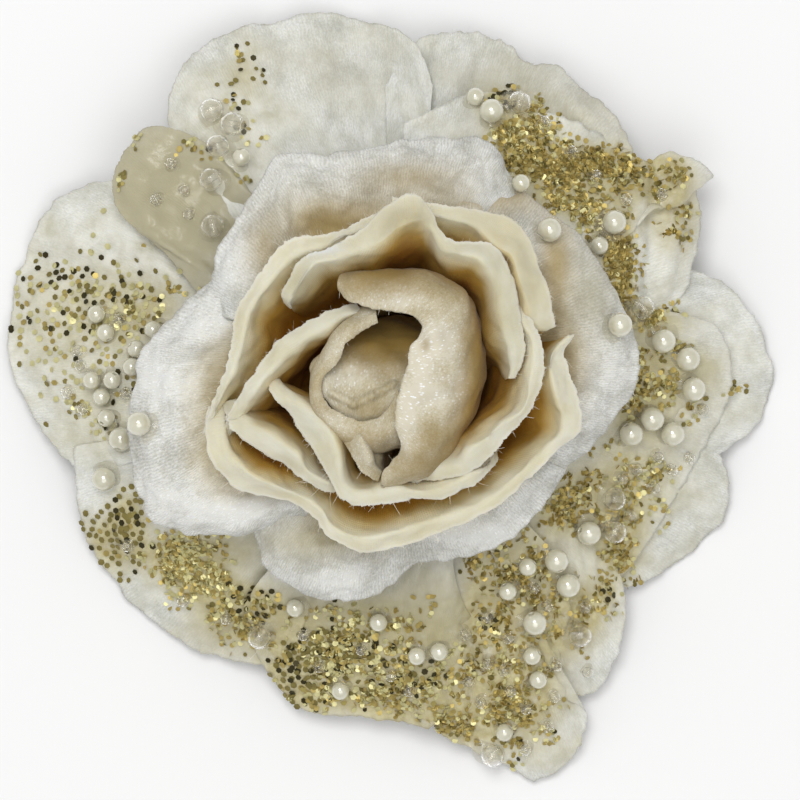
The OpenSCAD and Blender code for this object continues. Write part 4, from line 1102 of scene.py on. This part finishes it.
def felt_backing():
    """The disc under the petals and the strap round the clip's upper arm."""
    turn, out = np.meshgrid(np.linspace(0, 2 * math.pi, 145), np.linspace(0, 1, 30) ** 0.8)
    ring = np.stack([np.cos(turn), np.sin(turn)], -1)
    cut = 1 + 0.006 * waves(10 * ring, 6, 61) + 0.004 * waves(20 * ring, 2, 62)
    flat = ring * (FELT_RADIUS * out * np.where(out > 0.95, cut, 1))[..., None] + AXIS
    level = FELT_Z + 0.1 * waves(flat, 7, 63) * out + 0.04 * waves(flat, 1.5, 64)
    disc = np.concatenate([flat, level[..., None]], -1)
    disc[:, -1] = disc[:, 0]
    felt_piece("felt_backing_disc", disc, 1.3, "felt_disc")
    # half of the strap's section, across the arm and up; the other half mirrors it
    half = [(0, 11.9), (3, 11.9), (6, 11.92), (6.5, 12.15), (6.75, 12.5), (7.4, 12.6), (9, 12.6),
            (11, 12.6)]
    path = np.array([(-y, z) for y, z in half[:0:-1]] + half)
    section = along(path, np.linspace(0, 1, 90))
    across = np.linspace(-0.9, 10.9, 40)[:, None]
    strap = np.stack(np.broadcast_arrays(across, section[:, 0] + AXIS[1], section[:, 1]), -1)
    strap = strap + 0.04 * waves(strap, 1.6, 65)[..., None] * (1, 1, 0.6)
    felt_piece("felt_strap", strap, 0.7, "felt_patch")


felt_backing()


def fibres():
    """Loose wool fibres round the cut edge of the felt disc."""
    rng = np.random.default_rng(71)
    points, faces = [], []
    up = np.array([0, 0, 1.0])
    for _ in range(900):
        a = rng.uniform(0, 2 * math.pi)
        face = rng.choice((-1, 1))
        out = np.array([math.cos(a), math.sin(a), 0])
        foot = (*AXIS, FELT_Z) + (FELT_RADIUS - 0.1) * out + 0.62 * face * rng.random() * up
        aim = out + rng.normal(0, 0.7, 3)
        bend = rng.normal(0, 0.8, 3)
        strand(points, faces, foot, aim, bend, rng.uniform(0.3, 1.4), np.cross(up, out), up, 0.02)
    merged("felt_fibres", points, faces, [FELT])


fibres()


def foam_bulb():
    """The foam bulb inside the petals, with its cut cells."""
    profile = np.array([(2.05, 0.02), (5, 0), (9.2, 0), (9.3, 0.6), (9.35, 4), (9.35, 6.5), (8.8, 8.5),
                        (7, 11.5), (4.5, 14.5), (2.05, 15.8)])
    section = along(profile, np.linspace(0, 1, 70))[:, None]
    turn = np.linspace(0, 2 * math.pi, 120, endpoint=False)
    points = np.stack(np.broadcast_arrays(section[..., 0] * np.cos(turn), section[..., 0] * np.sin(turn),
                                          section[..., 1]), -1) + (*AXIS, CORE_Z)
    inward = unit(points - (*AXIS, CORE_Z + 7))
    points = points - 0.12 * np.abs(waves(points, 1.3, 81, 20))[..., None] * inward
    quads = quads_of(*points.shape[:2], closed=True).tolist()
    foam = moulded("cut foam", (0.80, 0.77, 0.66))
    merged("foam_bulb", points.reshape(-1, 3), quads, [foam], stands_for=["foam_core"], smooth=True)


foam_bulb()

# -------- the CAD parts that show as they are

FINISHES = {
    "clip_upper_arm": metal("stamped steel", (0.72, 0.72, 0.73), 0.28),
    "clip_lower_arm": metal("stamped steel below", (0.70, 0.70, 0.71), 0.28),
    "clip_pin": metal("rivet steel", (0.62, 0.62, 0.63), 0.32),
    "clip_spring": metal("spring wire", (0.36, 0.36, 0.38), 0.3, streaks=0.1),
    "calyx_plate": moulded("green plastic", (0.16, 0.24, 0.09)),
    "stem_post": moulded("green post", (0.16, 0.24, 0.09)),
}
for node_name, material in FINISHES.items():
    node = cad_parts[node_name]
    node.data.materials.clear()
    node.data.materials.append(material)

# -------- stage, light and camera


def stage():
    """A white floor, a large soft light overhead and to the top of the picture, and an even fill."""
    mesh = bpy.data.meshes.new("floor")
    # the floor lies just under the clip's thumb pad
    size, low = 1.2, -0.0004
    corners = [(-size, -size, low), (size, -size, low), (size, size, low), (-size, size, low)]
    mesh.from_pydata(corners, [], [(0, 1, 2, 3)])
    floor = bpy.data.objects.new("floor", mesh)
    bpy.context.scene.collection.objects.link(floor)
    s = Shader("floor white")
    s.set(Base_Color=(0.93, 0.93, 0.93, 1), Roughness=0.9)
    mesh.materials.append(s.material)
    world = bpy.data.worlds.new("studio")
    bpy.context.scene.world = world
    world.use_nodes = True
    back = world.node_tree.nodes["Background"]
    back.inputs[0].default_value = (1, 1, 1, 1)
    back.inputs[1].default_value = 0.5
    for name, place, size, power in (
        ("key", (-0.10, 0.27, 0.96), 0.42, 3.5),
        ("top", (0.08, -0.26, 1.05), 0.9, 3.1),
    ):
        light = bpy.data.lights.new(name, "AREA")
        light.shape = "DISK"
        light.size = size
        light.energy = power
        lamp = bpy.data.objects.new(name, light)
        lamp.location = place
        aim = Vector((0, 0, 0.02)) - Vector(place)
        lamp.rotation_euler = aim.to_track_quat("-Z", "Y").to_euler()
        bpy.context.scene.collection.objects.link(lamp)


def camera():
    """Straight down on the flower, from far off through a long lens that takes in the width."""
    wide, away = 0.13333, 1.2
    aim = Vector((0.0015, -0.0003, 0.014))
    data = bpy.data.cameras.new("camera")
    data.sensor_width = 36
    data.lens = data.sensor_width * away / wide
    data.clip_end = 10
    cam = bpy.data.objects.new("camera", data)
    cam.location = aim + Vector((0, 0, away))
    bpy.context.scene.collection.objects.link(cam)
    bpy.context.scene.camera = cam


stage()
camera()
bpy.context.scene.view_settings.view_transform = "Standard"
